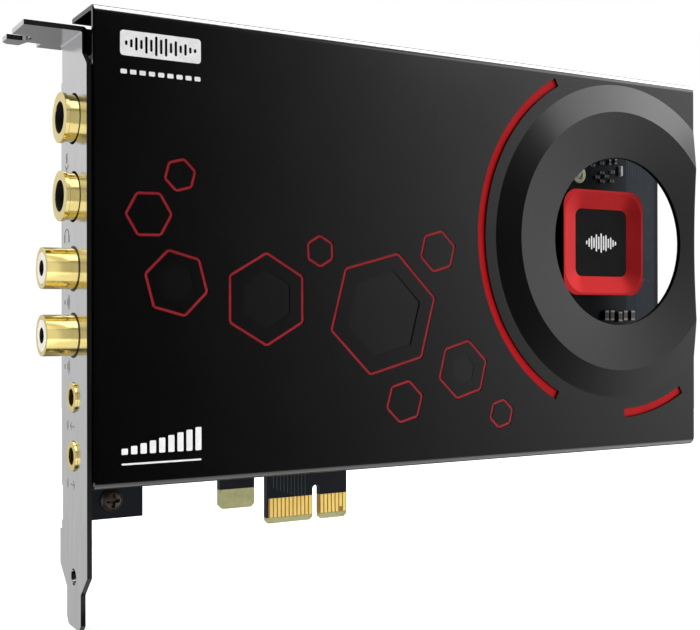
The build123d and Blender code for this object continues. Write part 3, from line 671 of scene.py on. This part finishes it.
def addLead(shape, place, outward, width):
    # gull-wing lead: a foot on the pad and a knee up to the package
    x, z = place
    reach, thick = leads["reach"], leads["foot"]
    foot, knee = [width, thick, width], [width, leads["knee"], width]
    axis = 0 if outward[0] else 2
    foot[axis], knee[axis] = reach, thick
    addBox(shape, (x + outward[0] * reach / 2, boardFront - thick / 2, z + outward[1] * reach / 2), foot)
    near = leads["kneeShare"] * reach
    addBox(shape, (x + outward[0] * near, boardFront - leads["knee"] / 2, z + outward[1] * near), knee)


leadShape = bmesh.new()
for x, z in converterPlaces:
    for along, _ in rowPlaces((0, 0), leads["converterPitch"], leads["converterCount"]):
        for side in (1, -1):
            addLead(leadShape, (x + side * converterHalf, z + along), (side, 0), leads["width"])
            addLead(leadShape, (x + along, z + side * converterHalf), (0, side), leads["width"])
for x, z in rowPlaces(flat(nodeMiddle("memory_chip")), leads["memoryPitch"], leads["memoryCount"]):
    for side in (1, -1):
        addLead(leadShape, (x, z + side * leads["memoryHalf"]), (0, side), leads["memoryWidth"])
for middle in rowPlaces(regulatorRow, leads["regulatorStep"], leads["regulatorCount"]):
    for x, z in rowPlaces(middle, leads["regulatorPitch"], leads["regulatorLeads"]):
        addLead(leadShape, (x, z - leads["regulatorHalf"]), (0, -1), leads["regulatorWidth"])
for middle in amplifierPlaces:
    pitch, pins = leads["amplifierPitch"], leads["amplifierPins"]
    for x, z in rowPlaces(middle, pitch, pins, 2, 2 * leads["amplifierRow"]):
        centre = (x, amplifierFace + leads["amplifierLegDrop"], z)
        addBox(leadShape, centre, leads["amplifierLeg"], leads["amplifierLegEdge"], None, 1)
makePiece("chip_leads", leadShape, "tinPlate")

marks = {
    "converterInset": 3.7, "converterDot": 0.5, "memoryOffset": (-1.8, 1.3), "memoryDot": 0.3,
    "amplifierInset": 3.9, "amplifierDot": 0.6, "thick": 0.01, "dotSteps": 16, "canSteps": 32,
    "canPitch": 8.6, "canCount": 3, "canRadius": 2.75, "canBand": 1.0, "canThick": 0.03,
}
memoryX, memoryZ = flat(nodeMiddle("memory_chip"))
dots = [
    (x - marks["converterInset"], z + marks["converterInset"], converterLow.y, marks["converterDot"])
    for x, z in converterPlaces
]
dots += [(x - marks["amplifierInset"], z, amplifierFace, marks["amplifierDot"]) for x, z in amplifierPlaces]
dots.append((
    memoryX + marks["memoryOffset"][0], memoryZ + marks["memoryOffset"][1], nodeBox("memory_chip")[0].y,
    marks["memoryDot"],
))
dotShape = bmesh.new()
for x, z, y, radius in dots:
    face = y - marks["thick"]
    addTurned(dotShape, [(0, face), (radius, face), (radius, y), (0, y)], (x, z), marks["dotSteps"])
closeTurned(dotShape)
makePiece("package_marks", dotShape, "greyPrint")
canShape = bmesh.new()
canFace = nodeBox("electrolytic_capacitors")[0].y
for x, z in rowPlaces(flat(nodeMiddle("electrolytic_capacitors")), marks["canPitch"], marks["canCount"]):
    turn = Matrix.Translation((x, canFace - marks["canThick"], z)) @ Matrix.Rotation(radians(90), 4, "X")
    cap = bmesh.ops.create_circle(
        canShape, cap_ends=True, segments=marks["canSteps"], radius=marks["canRadius"], matrix=turn
    )
    edges = {edge for vert in cap["verts"] for edge in vert.link_edges}
    faces = {face for vert in cap["verts"] for face in vert.link_faces}
    bmesh.ops.bisect_plane(
        canShape, geom=cap["verts"] + list(edges) + list(faces), plane_co=(x - marks["canBand"], 0, 0),
        plane_no=(1, 0, 0), clear_outer=True
    )
raised = bmesh.ops.extrude_face_region(canShape, geom=canShape.faces[:])["geom"]
raisedVerts = [item for item in raised if isinstance(item, bmesh.types.BMVert)]
bmesh.ops.translate(canShape, vec=(0, marks["canThick"], 0), verts=raisedVerts)
bmesh.ops.recalc_face_normals(canShape, faces=canShape.faces)
makePiece("capacitor_bands", canShape, "blackMoulding")
print("leads and marks placed")


# copper under the mask, plated holes and solder

copper = {
    "width": 0.22, "rise": 0.18, "litPatchRise": 0.02,
    # painted light: the patch below is a paler box of mask on the board's right part, where light falls
    # through the window
    "litPatch": {"left": sinkMiddle.x + 16.4, "right": boardHigh.x - 1.5, "low": 36.0, "high": 97.0},
    # bundles of traces: points of the first one, count and step to the next
    "frontBuses": [
        ([(97.2, 94), (97.2, 60), (93.7, 56)], 7, (0.75, -0.5)),
        ([(96.8, 52), (100.2, 55.5), (100.2, 40), (92, 31), (86, 31)], 6, (0.6, 0.35)),
        ([(66, 74), (60, 80), (40, 80)], 8, (0.2, -0.8)),
        ([(66, 60), (58, 60), (50, 68), (44, 68)], 6, (0.3, -0.7)),
        ([(-11, 8), (-11, 16), (2, 29), (2, 40)], 10, (0.9, -0.35)),
    ],
    "backBuses": [
        ([(-8, 8), (-8, 18), (6, 32), (52, 32), (66, 46), (66, 56)], 9, (0.7, -0.55)),
        ([(78, 78), (78, 88), (70, 96), (48, 96)], 9, (0.8, 0.6)),
        ([(66, 70), (50, 70), (40, 60), (20, 60)], 8, (0.35, -0.8)),
        ([(10, 72), (-14, 72), (-22, 80), (-40, 80)], 6, (0.3, -0.9)),
        ([(12, 48), (-8, 48), (-18, 38), (-40, 38)], 6, (-0.3, -0.9)),
        ([(90, 56), (98, 48), (98, 30), (88, 20), (60, 20)], 7, (0.7, -0.4)),
        ([(20, 90), (0, 90), (-8, 98), (-30, 98)], 5, (0.3, -0.9)),
    ],
}


def layTraces(name, buses, y):
    # flat copper ribbons in bundles, each path moved over by one step
    curve = bpy.data.curves.new(name, "CURVE")
    curve.dimensions = "3D"
    curve.bevel_depth = copper["width"] / 2 * mm
    curve.bevel_resolution = 0
    curve.use_fill_caps = True
    for points, count, (stepX, stepZ) in buses:
        for index in range(count):
            spline = curve.splines.new("POLY")
            spline.points.add(len(points) - 1)
            for point, (x, z) in zip(spline.points, points):
                point.co = ((x + index * stepX) * mm, 0, (z + index * stepZ) * mm, 1)
    path = bpy.data.objects.new(name, curve)
    scene.collection.objects.link(path)
    mesh = bpy.data.meshes.new_from_object(path.evaluated_get(bpy.context.evaluated_depsgraph_get()))
    bpy.data.objects.remove(path)
    shape = bmesh.new()
    shape.from_mesh(mesh)
    bpy.data.meshes.remove(mesh)
    bmesh.ops.scale(shape, vec=(1 / mm, copper["rise"] / mm, 1 / mm), verts=shape.verts)
    bmesh.ops.translate(shape, vec=(0, y, 0), verts=shape.verts)
    bmesh.ops.recalc_face_normals(shape, faces=shape.faces)
    makePiece(name, shape, "traceMask")


# painted light: a thin box of paler mask over the board's right part, standing in for light through the
# window; traces lie on it
litPatch = copper["litPatch"]
litPatchShape = bmesh.new()
litPatchX, litPatchZ = (litPatch["left"] + litPatch["right"]) / 2, (litPatch["low"] + litPatch["high"]) / 2
addBox(
    litPatchShape, (litPatchX, boardFront - copper["litPatchRise"] / 2, litPatchZ),
    (litPatch["right"] - litPatch["left"], copper["litPatchRise"], litPatch["high"] - litPatch["low"])
)
makePiece("painted_light_patch", litPatchShape, "litPatchMask")
layTraces("front_traces", copper["frontBuses"], boardFront - copper["litPatchRise"])
layTraces("back_traces", copper["backBuses"], boardBack)

vias = {
    "radius": 0.34, "hole": 0.15, "rise": 0.03, "ease": 0.05, "steps": 8,
    "grids": [  # middle, pitch, columns, rows and pitch of the rows
        (flat(sinkMiddle), 2.1, 9, 8, 2.1),
        (converterPlaces[0], 1.75, 5, 5, 1.75),
        (converterPlaces[1], 1.75, 5, 5, 1.75),
        ((51.0, 27.1), 2.6, 11, 2, 2.2),
        ((-52.8, 66.2), 0, 1, 6, 6.5),
        ((104.5, 59.7), 0, 1, 12, 6.5),
        ((26.4, 104.6), 8.3, 17),
        ((30.4, 14.2), 8.3, 17),
    ],
}
viaShape = bmesh.new()
for grid in vias["grids"]:
    for place in rowPlaces(*grid):
        for y, outward in ((boardFront, -1), (boardBack, 1)):
            profile = ringProfile(vias["hole"], vias["radius"], y, y + outward * vias["rise"], vias["ease"])
            addTurned(viaShape, profile, place, vias["steps"], True)
closeTurned(viaShape)
makePiece("via_pads", viaShape, "traceMask")

jackRows = {
    "large": {"names": largeJacks, "tails": [10.5, 18.0, 25.5], "side": 3.65},
    "small": {"names": smallJacks, "tails": [5.2, 9.0, 12.6], "side": 2.18},
    "phono": {"names": phonoJacks, "tails": [8.8], "side": 2.05},
}
jackHeights = {
    name: nodeMiddle(name + ("_shell" if row == "phono" else "_bushing")).z
    for row, rows in jackRows.items() for name in rows["names"]
}
joints = {
    # cones of solder, as radius and height off the board's back; the large ones end in a pin
    "large": [(0, 0), (1.2, 0), (0.95, 0.05), (0.62, 0.4), (0.42, 0.85), (0.3, 0.85), (0.3, 1.15), (0, 1.15)],
    "small": [(0, 0), (0.8, 0), (0.5, 0.25), (0.36, 0.6), (0, 0.75)],
    "largeSteps": 12, "smallSteps": 10, "softAngle": 40,
    "bodyPegs": [(4.2, 50.0), (4.2, 62.0), (4.2, 38.0), (2.7, 86.7), (2.7, 71.0)],
    "relayStep": 10.0, "relayPitch": 3.4, "relayRow": 6.4, "relayPins": 4, "crystalPitch": 5.0,
    "amplifierRow": 7.62, "headers": {"front_panel_header": 5, "board_link_header": 13}, "headerPitch": 2.54,
}
largePlaces = [(bracketInside + x, z) for x, z in joints["bodyPegs"]]
for rows in jackRows.values():
    for name in rows["names"]:
        for index, start in enumerate(rows["tails"]):
            side = rows["side"] if index % 2 == 0 else -rows["side"]
            largePlaces.append((bracketInside + start, jackHeights[name] + side))
smallPlaces = rowPlaces(flat(nodeMiddle("crystal")), joints["crystalPitch"], 2)
for middle in amplifierPlaces:
    pitch, pins = leads["amplifierPitch"], leads["amplifierPins"]
    smallPlaces += rowPlaces(middle, pitch, pins, 2, joints["amplifierRow"])
for middle in rowPlaces(flat(nodeMiddle("signal_relays")), 0, 1, 2, joints["relayStep"]):
    smallPlaces += rowPlaces(middle, joints["relayPitch"], joints["relayPins"], 2, joints["relayRow"])
for name, columns in joints["headers"].items():
    pitch = joints["headerPitch"]
    smallPlaces += rowPlaces(flat(nodeMiddle(name)), pitch, columns, 2, pitch)
solderShape = bmesh.new()
for kind, places in (("large", largePlaces), ("small", smallPlaces)):
    profile = [(radius, boardBack + rise) for radius, rise in joints[kind]]
    for place in places:
        addTurned(solderShape, profile, place, joints[kind + "Steps"])
closeTurned(solderShape)
makePiece("solder_joints", solderShape, "tinPlate", joints["softAngle"])

collars = {"inner": 2.2, "outer": 3.3, "rise": 0.05, "steps": 32}
collarShape = bmesh.new()
collarProfile = ringProfile(collars["inner"], collars["outer"], boardBack, boardBack + collars["rise"])
for place in screws["coverPlaces"]:
    addTurned(collarShape, collarProfile, place, collars["steps"], True)
closeTurned(collarShape)
makePiece("screw_collars", collarShape, "traceMask", softAngle)
print("copper and solder laid")


# plain printed marks: waves and level bars on the cover and heat sink, pictures below the sockets

prints = {
    "rise": 0.03, "cornerShare": 0.45, "cornerSteps": 3,
    "panel": {"left": 5.4, "right": 22.5, "bottom": 98.4, "top": 103.4, "corner": 0.7},
    "wave": [0.9, 1.6, 2.6, 1.8, 3.4, 2.4, 3.9, 2.9, 3.6, 2.0, 3.0, 1.5, 2.3, 1.2, 0.8],
    "wavePitch": 1.04, "waveWidth": 0.52,
    "rule": {"middle": 95.25, "height": 0.9, "count": 9, "pitch": 1.95, "width": 1.3},
    "meter": {"left": 5.6, "bottom": 19.6, "count": 9, "pitch": 1.95, "width": 1.3, "low": 1.2, "high": 4.7},
    "meterRule": {"middle": 17.7, "height": 0.35, "width": 16.9, "corner": 0.15},
    "sinkWave": [1.0, 2.2, 3.4, 2.6, 4.4, 3.2, 5.0, 3.6, 4.2, 2.4, 3.0, 1.8, 1.0], "sinkPitch": 0.82,
    "sinkWidth": 0.46,
}
lightShape, darkShape = bmesh.new(), bmesh.new()


def printBar(shape, x, z, width, height, y=coverFace, corner=0.2, lift=0.5):
    # flat printed bar with rounded corners, its back on the face or in the print that carries it
    rise, bevel = prints["rise"], min(corner, prints["cornerShare"] * width)
    addBox(shape, (x, y - lift * rise, z), (width, rise, height), bevel, 1, prints["cornerSteps"])


panel = prints["panel"]
panelX, panelZ = coverLow.x + (panel["left"] + panel["right"]) / 2, (panel["bottom"] + panel["top"]) / 2
panelWidth, panelHeight = panel["right"] - panel["left"], panel["top"] - panel["bottom"]
printBar(lightShape, panelX, panelZ, panelWidth, panelHeight, corner=panel["corner"])
wavePlaces = rowPlaces((panelX, panelZ), prints["wavePitch"], len(prints["wave"]))
for (x, z), height in zip(wavePlaces, prints["wave"]):
    printBar(darkShape, x, z, prints["waveWidth"], height, lift=1)
rule = prints["rule"]
for x, z in rowPlaces((panelX, rule["middle"]), rule["pitch"], rule["count"]):
    printBar(lightShape, x, z, rule["width"], rule["height"])
meter, line = prints["meter"], prints["meterRule"]
for index in range(meter["count"]):
    height = meter["low"] + (meter["high"] - meter["low"]) * index / (meter["count"] - 1)
    x = coverLow.x + meter["left"] + index * meter["pitch"] + meter["width"] / 2
    printBar(lightShape, x, meter["bottom"] + height / 2, meter["width"], height)
lineX = coverLow.x + meter["left"] + line["width"] / 2
printBar(lightShape, lineX, line["middle"], line["width"], line["height"], corner=line["corner"])
sinkPlaces = rowPlaces(flat(sinkMiddle), prints["sinkPitch"], len(prints["sinkWave"]))
for (x, z), height in zip(sinkPlaces, prints["sinkWave"]):
    printBar(lightShape, x, z, prints["sinkWidth"], height, y=sinkFace)
makePiece("light_print", lightShape, "whitePrint")
makePiece("dark_print", darkShape, "coverPaint")

soundWaves = {"start": 140, "sweep": 80}
arrow = {"shaft": -3.8, "length": 2.6, "line": 0.35, "head": 0.9, "barb": 1.2, "spread": 0.4, "angle": 45}


def waves(y, radii):
    return [(y, 0, radius, soundWaves["start"], soundWaves["sweep"]) for radius in radii]


def arrowBars(pointing):
    y, line, tip = arrow["shaft"], arrow["line"], arrow["shaft"] + arrow["head"] * pointing
    barbs = [
        (tip, side * arrow["spread"], arrow["barb"], line, -arrow["angle"] * side * pointing)
        for side in (-1, 1)
    ]
    return [(y, 0, arrow["length"], line, 0)] + barbs


soundOut = {"arcs": waves(0.4, (0.9, 1.6, 2.3)), "bars": [(1.4, 0, 0.7, 0.9, 0)]}
# arcs as y, z, radius, start and sweep, bars as y, z, width, height and turn, about each picture's middle
pictures = {
    "x": bracketFace - 0.01, "thick": 0.03, "line": 0.32, "middle": -2.0, "sweepStep": 18, "leastSteps": 6,
    "sketches": {
        "microphone_jack": {  # a microphone in its yoke, on a stand
            "below": 8.4, "arcs": [(0, 0, 1.2, 200, 140)],
            "bars": [(0, 0.9, 0.9, 2.0, 0), (0, -1.7, 0.3, 1.0, 0), (0, -2.2, 1.6, 0.3, 0)],
        },
        "headphone_jack": {  # a band and two cups
            "below": 7.8, "arcs": [(0, 0, 1.5, 0, 180)],
            "bars": [(-1.5, -0.5, 0.7, 1.5, 0), (1.5, -0.5, 0.7, 1.5, 0)],
        },
        "phono_jack_right": {"below": 6.7, **soundOut},
        "phono_jack_left": {"below": 6.5, **soundOut},
        "line_jack_upper": {"below": 5.9, "arcs": waves(0.8, (0.9, 1.6)), "bars": arrowBars(1)},
        "line_jack_lower": {"below": 5.9, "arcs": waves(0.8, (0.9, 1.6)), "bars": arrowBars(-1)},
    },
}
pictureShape = bmesh.new()


def drawBar(y, z, width, height, turn):
    # straight stroke on the bracket's outer face
    place = Matrix.Translation((pictures["x"], y, z)) @ Matrix.Rotation(radians(turn), 4, "X")
    size = Matrix.Diagonal((pictures["thick"], width, height, 1))
    bmesh.ops.create_cube(pictureShape, size=1, matrix=place @ size)


def drawArc(y, z, radius, start, sweep):
    # curved stroke about (y, z), angles from +Y towards +Z
    place = Matrix.Translation((pictures["x"], y, z)) @ Matrix.Rotation(radians(start), 4, "X")
    size = Matrix.Translation((0, radius, 0)) @ Matrix.Diagonal((pictures["thick"], pictures["line"], 1, 1))
    verts = bmesh.ops.create_grid(
        pictureShape, x_segments=1, y_segments=1, size=0.5, matrix=place @ size
    )["verts"]
    edges = {edge for vert in verts for edge in vert.link_edges}
    faces = {face for vert in verts for face in vert.link_faces}
    bmesh.ops.spin(
        pictureShape, geom=verts + list(edges) + list(faces), cent=(pictures["x"], y, z), axis=(1, 0, 0),
        angle=radians(sweep), steps=max(pictures["leastSteps"], int(sweep / pictures["sweepStep"]))
    )


for name, sketch in pictures["sketches"].items():
    middle, level = pictures["middle"], jackHeights[name] - sketch["below"]
    for y, z, *stroke in sketch["arcs"]:
        drawArc(middle + y, level + z, *stroke)
    for y, z, *stroke in sketch["bars"]:
        drawBar(middle + y, level + z, *stroke)
bmesh.ops.remove_doubles(pictureShape, verts=pictureShape.verts, dist=mergeGap["strokes"])
bmesh.ops.recalc_face_normals(pictureShape, faces=pictureShape.faces)
makePiece("socket_pictures", pictureShape, "greyPrint")

# painted shade: thin black rings on the bracket round the phono shells, where the clearance of the bracket's
# holes lies in shade
clearanceShade = {"clearance": 0.02, "width": 0.42, "rise": 0.06, "steps": 40}
# painted shade: thin black sleeves inside the bores of the large jacks' bushings, so the holes read dark
boreShade = {"bore": 3.2, "clearance": 0.045, "wall": 0.02, "setback": 0.15, "steps": 48}


def makeSleeves(name, sleeves, steps):
    # black sleeves of painted shade about axes along X, turned about Y first and then swung round
    shape = bmesh.new()
    for middle, inner, outer, near, far in sleeves:
        addTurned(shape, ringProfile(inner, outer, -near, -far), (middle.y, middle.z), steps, True)
    bmesh.ops.rotate(shape, cent=(0, 0, 0), matrix=Matrix.Rotation(radians(90), 3, "Z"), verts=shape.verts)
    closeTurned(shape)
    makePiece(name, shape, "blackMoulding", softAngle)


clearanceShadeSleeves, boreShadeSleeves = [], []
for name in phonoJacks:
    shellLow, shellHigh = nodeBox(name + "_shell")
    inner = (shellHigh.z - shellLow.z) / 2 + clearanceShade["clearance"]
    ends = bracketFace, bracketFace - clearanceShade["rise"]
    clearanceShadeSleeves.append((nodeMiddle(name + "_shell"), inner, inner + clearanceShade["width"], *ends))
for name in largeJacks:
    bushingLow, bushingHigh = nodeBox(name + "_bushing")
    outer = boreShade["bore"] - boreShade["clearance"]
    ends = bushingHigh.x, bushingLow.x + boreShade["setback"]
    boreShadeSleeves.append((nodeMiddle(name + "_bushing"), outer - boreShade["wall"], outer, *ends))
makeSleeves("clearance_shade_rings", clearanceShadeSleeves, clearanceShade["steps"])
makeSleeves("socket_bore_shade", boreShadeSleeves, boreShade["steps"])
print("prints and socket sleeves placed")


# studio: white sweep, softboxes above and beside, cards that the cover and jacks mirror, pale room behind

floorLevel = cadBox[0][2]
tableLift = {"glow": 0.0005, "card": 0.0007}  # two lights lie just off the floor
goldJacks = nodeFinishes["jackGold"]
besideJacks = goldJacks + nodeFinishes["bracketSheet"]
studio = {
    "floorSize": 0.9, "floorPlace": (0.02, 0.1), "floorDrop": 0.0001, "floorGlow": 0.2,
    "paper": {"tones": (grey(0.9), grey(0.93)), "patch": 8, "rough": (0.7, 0.8), "grain": (900, 0.02, 0.05)},
    "lights": {
        "top_softbox": {
            "place": (0, 0.05, 0.9), "size": (1.8, 1.5), "radiance": 2.6, "target": (0.02, 0, 0),
            "skip": goldJacks + ["front_cover"],
        },
        "side_softbox": {
            "place": (0.8, -0.42, 0.1), "size": (0.75, 1.1), "radiance": 0.8, "target": (0.03, 0, 0.05),
            "skip": ["front_cover", "heat_sink_frame"],
        },
        "upper_softbox": {
            "place": (0.75, -0.55, 0.5), "size": (0.7, 0.3), "radiance": 2.2, "target": (0.08, 0, 0.08),
            "skip": ["heat_sink_frame"],
        },
        "table_glow": {
            "place": (0.03, -0.095, floorLevel + tableLift["glow"]), "size": (0.36, 0.14), "radiance": 1,
            "turn": 180, "skip": ["front_cover", "heat_sink_frame"],
        },
        "fold_card": {
            "place": (0.65, 0.015, 0.9), "size": (1.1, 0.77), "radiance": 20, "turn": 0,
            "only": ["front_cover"],
        },
        "table_card": {
            "place": (0.05, -0.019, floorLevel + tableLift["card"]), "size": (0.36, 0.034), "radiance": 1.9,
            "turn": 180, "only": ["front_cover"],
        },
        "jack_front_card": {
            "place": (0.05, -0.4, 0.05), "size": (0.5, 0.5), "radiance": 0.5, "turn": 90, "only": besideJacks,
        },
        "jack_near_card": {
            "place": (-0.10925, -0.021, 0.055), "size": (0.1, 0.19), "radiance": 0.35, "turn": 90,
            "only": besideJacks,
        },
        "jack_top_card": {
            "place": (0.3, -0.2, 0.6), "size": (1.2, 1.2), "radiance": 0.75, "turn": 0, "only": goldJacks,
        },
    },
    # brightness of the room by direction: start and end along an axis, then the levels there
    "depth": (-0.1, 0.6, 0.02, 0.9), "height": (-0.35, 0.35, 0.72, 1.18), "aside": (0, 0.35, 1, 0.2),
    "glowAcross": (0.25, 0.727, 0, 1.44), "glowUpward": (-0.12, 0.4, 0.5, 1.31), "glowCurve": 2.3,
}
floorShape = bmesh.new()
bmesh.ops.create_grid(
    floorShape, x_segments=1, y_segments=1, size=studio["floorSize"] / 2,
    matrix=Matrix.Translation((*studio["floorPlace"], floorLevel - studio["floorDrop"]))
)
floorMesh = bpy.data.meshes.new("studio_floor")
floorShape.to_mesh(floorMesh)
floorShape.free()
studioFloor = bpy.data.objects.new("studio_floor", floorMesh)
scene.collection.objects.link(studioFloor)
floorMesh.materials.append(plainFinish("paperSweep", studio["paper"]))
paperShader = floorMesh.materials[0].node_tree.nodes["Principled BSDF"]
paperShader.inputs["Emission Color"].default_value = (1, 1, 1, 1)
paperShader.inputs["Emission Strength"].default_value = studio["floorGlow"]
studioFloor.visible_glossy = False

for name, softbox in studio["lights"].items():
    light = bpy.data.lights.new(name, "AREA")
    light.shape = "RECTANGLE"
    light.size, light.size_y = softbox["size"]
    light.energy = softbox["radiance"] * pi * light.size * light.size_y
    lamp = bpy.data.objects.new(name, light)
    lamp.location = softbox["place"]
    lamp.visible_camera = False
    if "target" in softbox:
        aim = Vector(softbox["target"]) - Vector(softbox["place"])
        lamp.rotation_euler = aim.to_track_quat("-Z", "Y").to_euler()
    else:
        lamp.rotation_euler = (radians(softbox["turn"]), 0, 0)
    scene.collection.objects.link(lamp)
    # softboxes that some pieces don't see, and cards that only some pieces mirror
    skips = "skip" in softbox
    group = bpy.data.collections.new(name)
    for node in softbox["skip" if skips else "only"]:
        group.objects.link(cadNodes[node])
    lamp.light_linking.receiver_collection = group
    lamp.visible_diffuse = skips
    if skips:
        for entry in group.collection_objects:
            entry.light_linking.link_state = "EXCLUDE"

world = bpy.data.worlds.new("studio_room")
scene.world = world
world.use_nodes = True
room = world.node_tree
room.nodes.clear()
direction = room.nodes.new("ShaderNodeTexCoord")
roomAxes = splitAxes(room, direction.outputs["Generated"])


def roomRange(axis, start, end, low, high, smooth=False):
    spread = addNode(room, "ShaderNodeMapRange", From_Min=start, From_Max=end, To_Min=low, To_Max=high)
    if smooth:
        spread.interpolation_type = "SMOOTHSTEP"
    room.links.new(roomAxes[axis], spread.inputs["Value"])
    return spread.outputs["Result"]


depth, height = roomRange("Y", *studio["depth"], True), roomRange("Z", *studio["height"])
behind = mathNode(room, "MULTIPLY", depth, height)
behind = mathNode(room, "MULTIPLY", behind, roomRange("X", *studio["aside"]))
# glow in front that grows to the right and upwards
glow = mathNode(room, "POWER", roomRange("X", *studio["glowAcross"]), studio["glowCurve"])
glow = mathNode(room, "MULTIPLY", glow, roomRange("Z", *studio["glowUpward"]))
glow = mathNode(room, "MULTIPLY", glow, mathNode(room, "LESS_THAN", roomAxes["Y"], 0))
level = mathNode(room, "ADD", behind, glow)
roomGlow = room.nodes.new("ShaderNodeBackground")
room.links.new(level, roomGlow.inputs["Strength"])
whiteBack = addNode(room, "ShaderNodeBackground", Color=(1, 1, 1, 1), Strength=1.0)
rays = room.nodes.new("ShaderNodeLightPath")
choose = room.nodes.new("ShaderNodeMixShader")
room.links.new(rays.outputs["Is Camera Ray"], choose.inputs[0])
room.links.new(roomGlow.outputs["Background"], choose.inputs[1])
room.links.new(whiteBack.outputs["Background"], choose.inputs[2])
output = room.nodes.new("ShaderNodeOutputWorld")
room.links.new(choose.outputs["Shader"], output.inputs["Surface"])
scene.view_settings.view_transform = "Standard"

shot = {
    "place": (-0.1265, -0.2348, 0.0466), "pitch": 90.12, "roll": 0.1, "yaw": -30.1,
    "lens": 59.2, "sensor": 36, "clipStart": 0.01,
}
cameraData = bpy.data.cameras.new("photo_camera")
cameraData.lens = shot["lens"]
cameraData.sensor_width = shot["sensor"]
cameraData.clip_start = shot["clipStart"]
camera = bpy.data.objects.new("photo_camera", cameraData)
camera.location = shot["place"]
camera.rotation_euler = (radians(shot["pitch"]), radians(shot["roll"]), radians(shot["yaw"]))
scene.collection.objects.link(camera)
scene.camera = camera
print("studio ready")
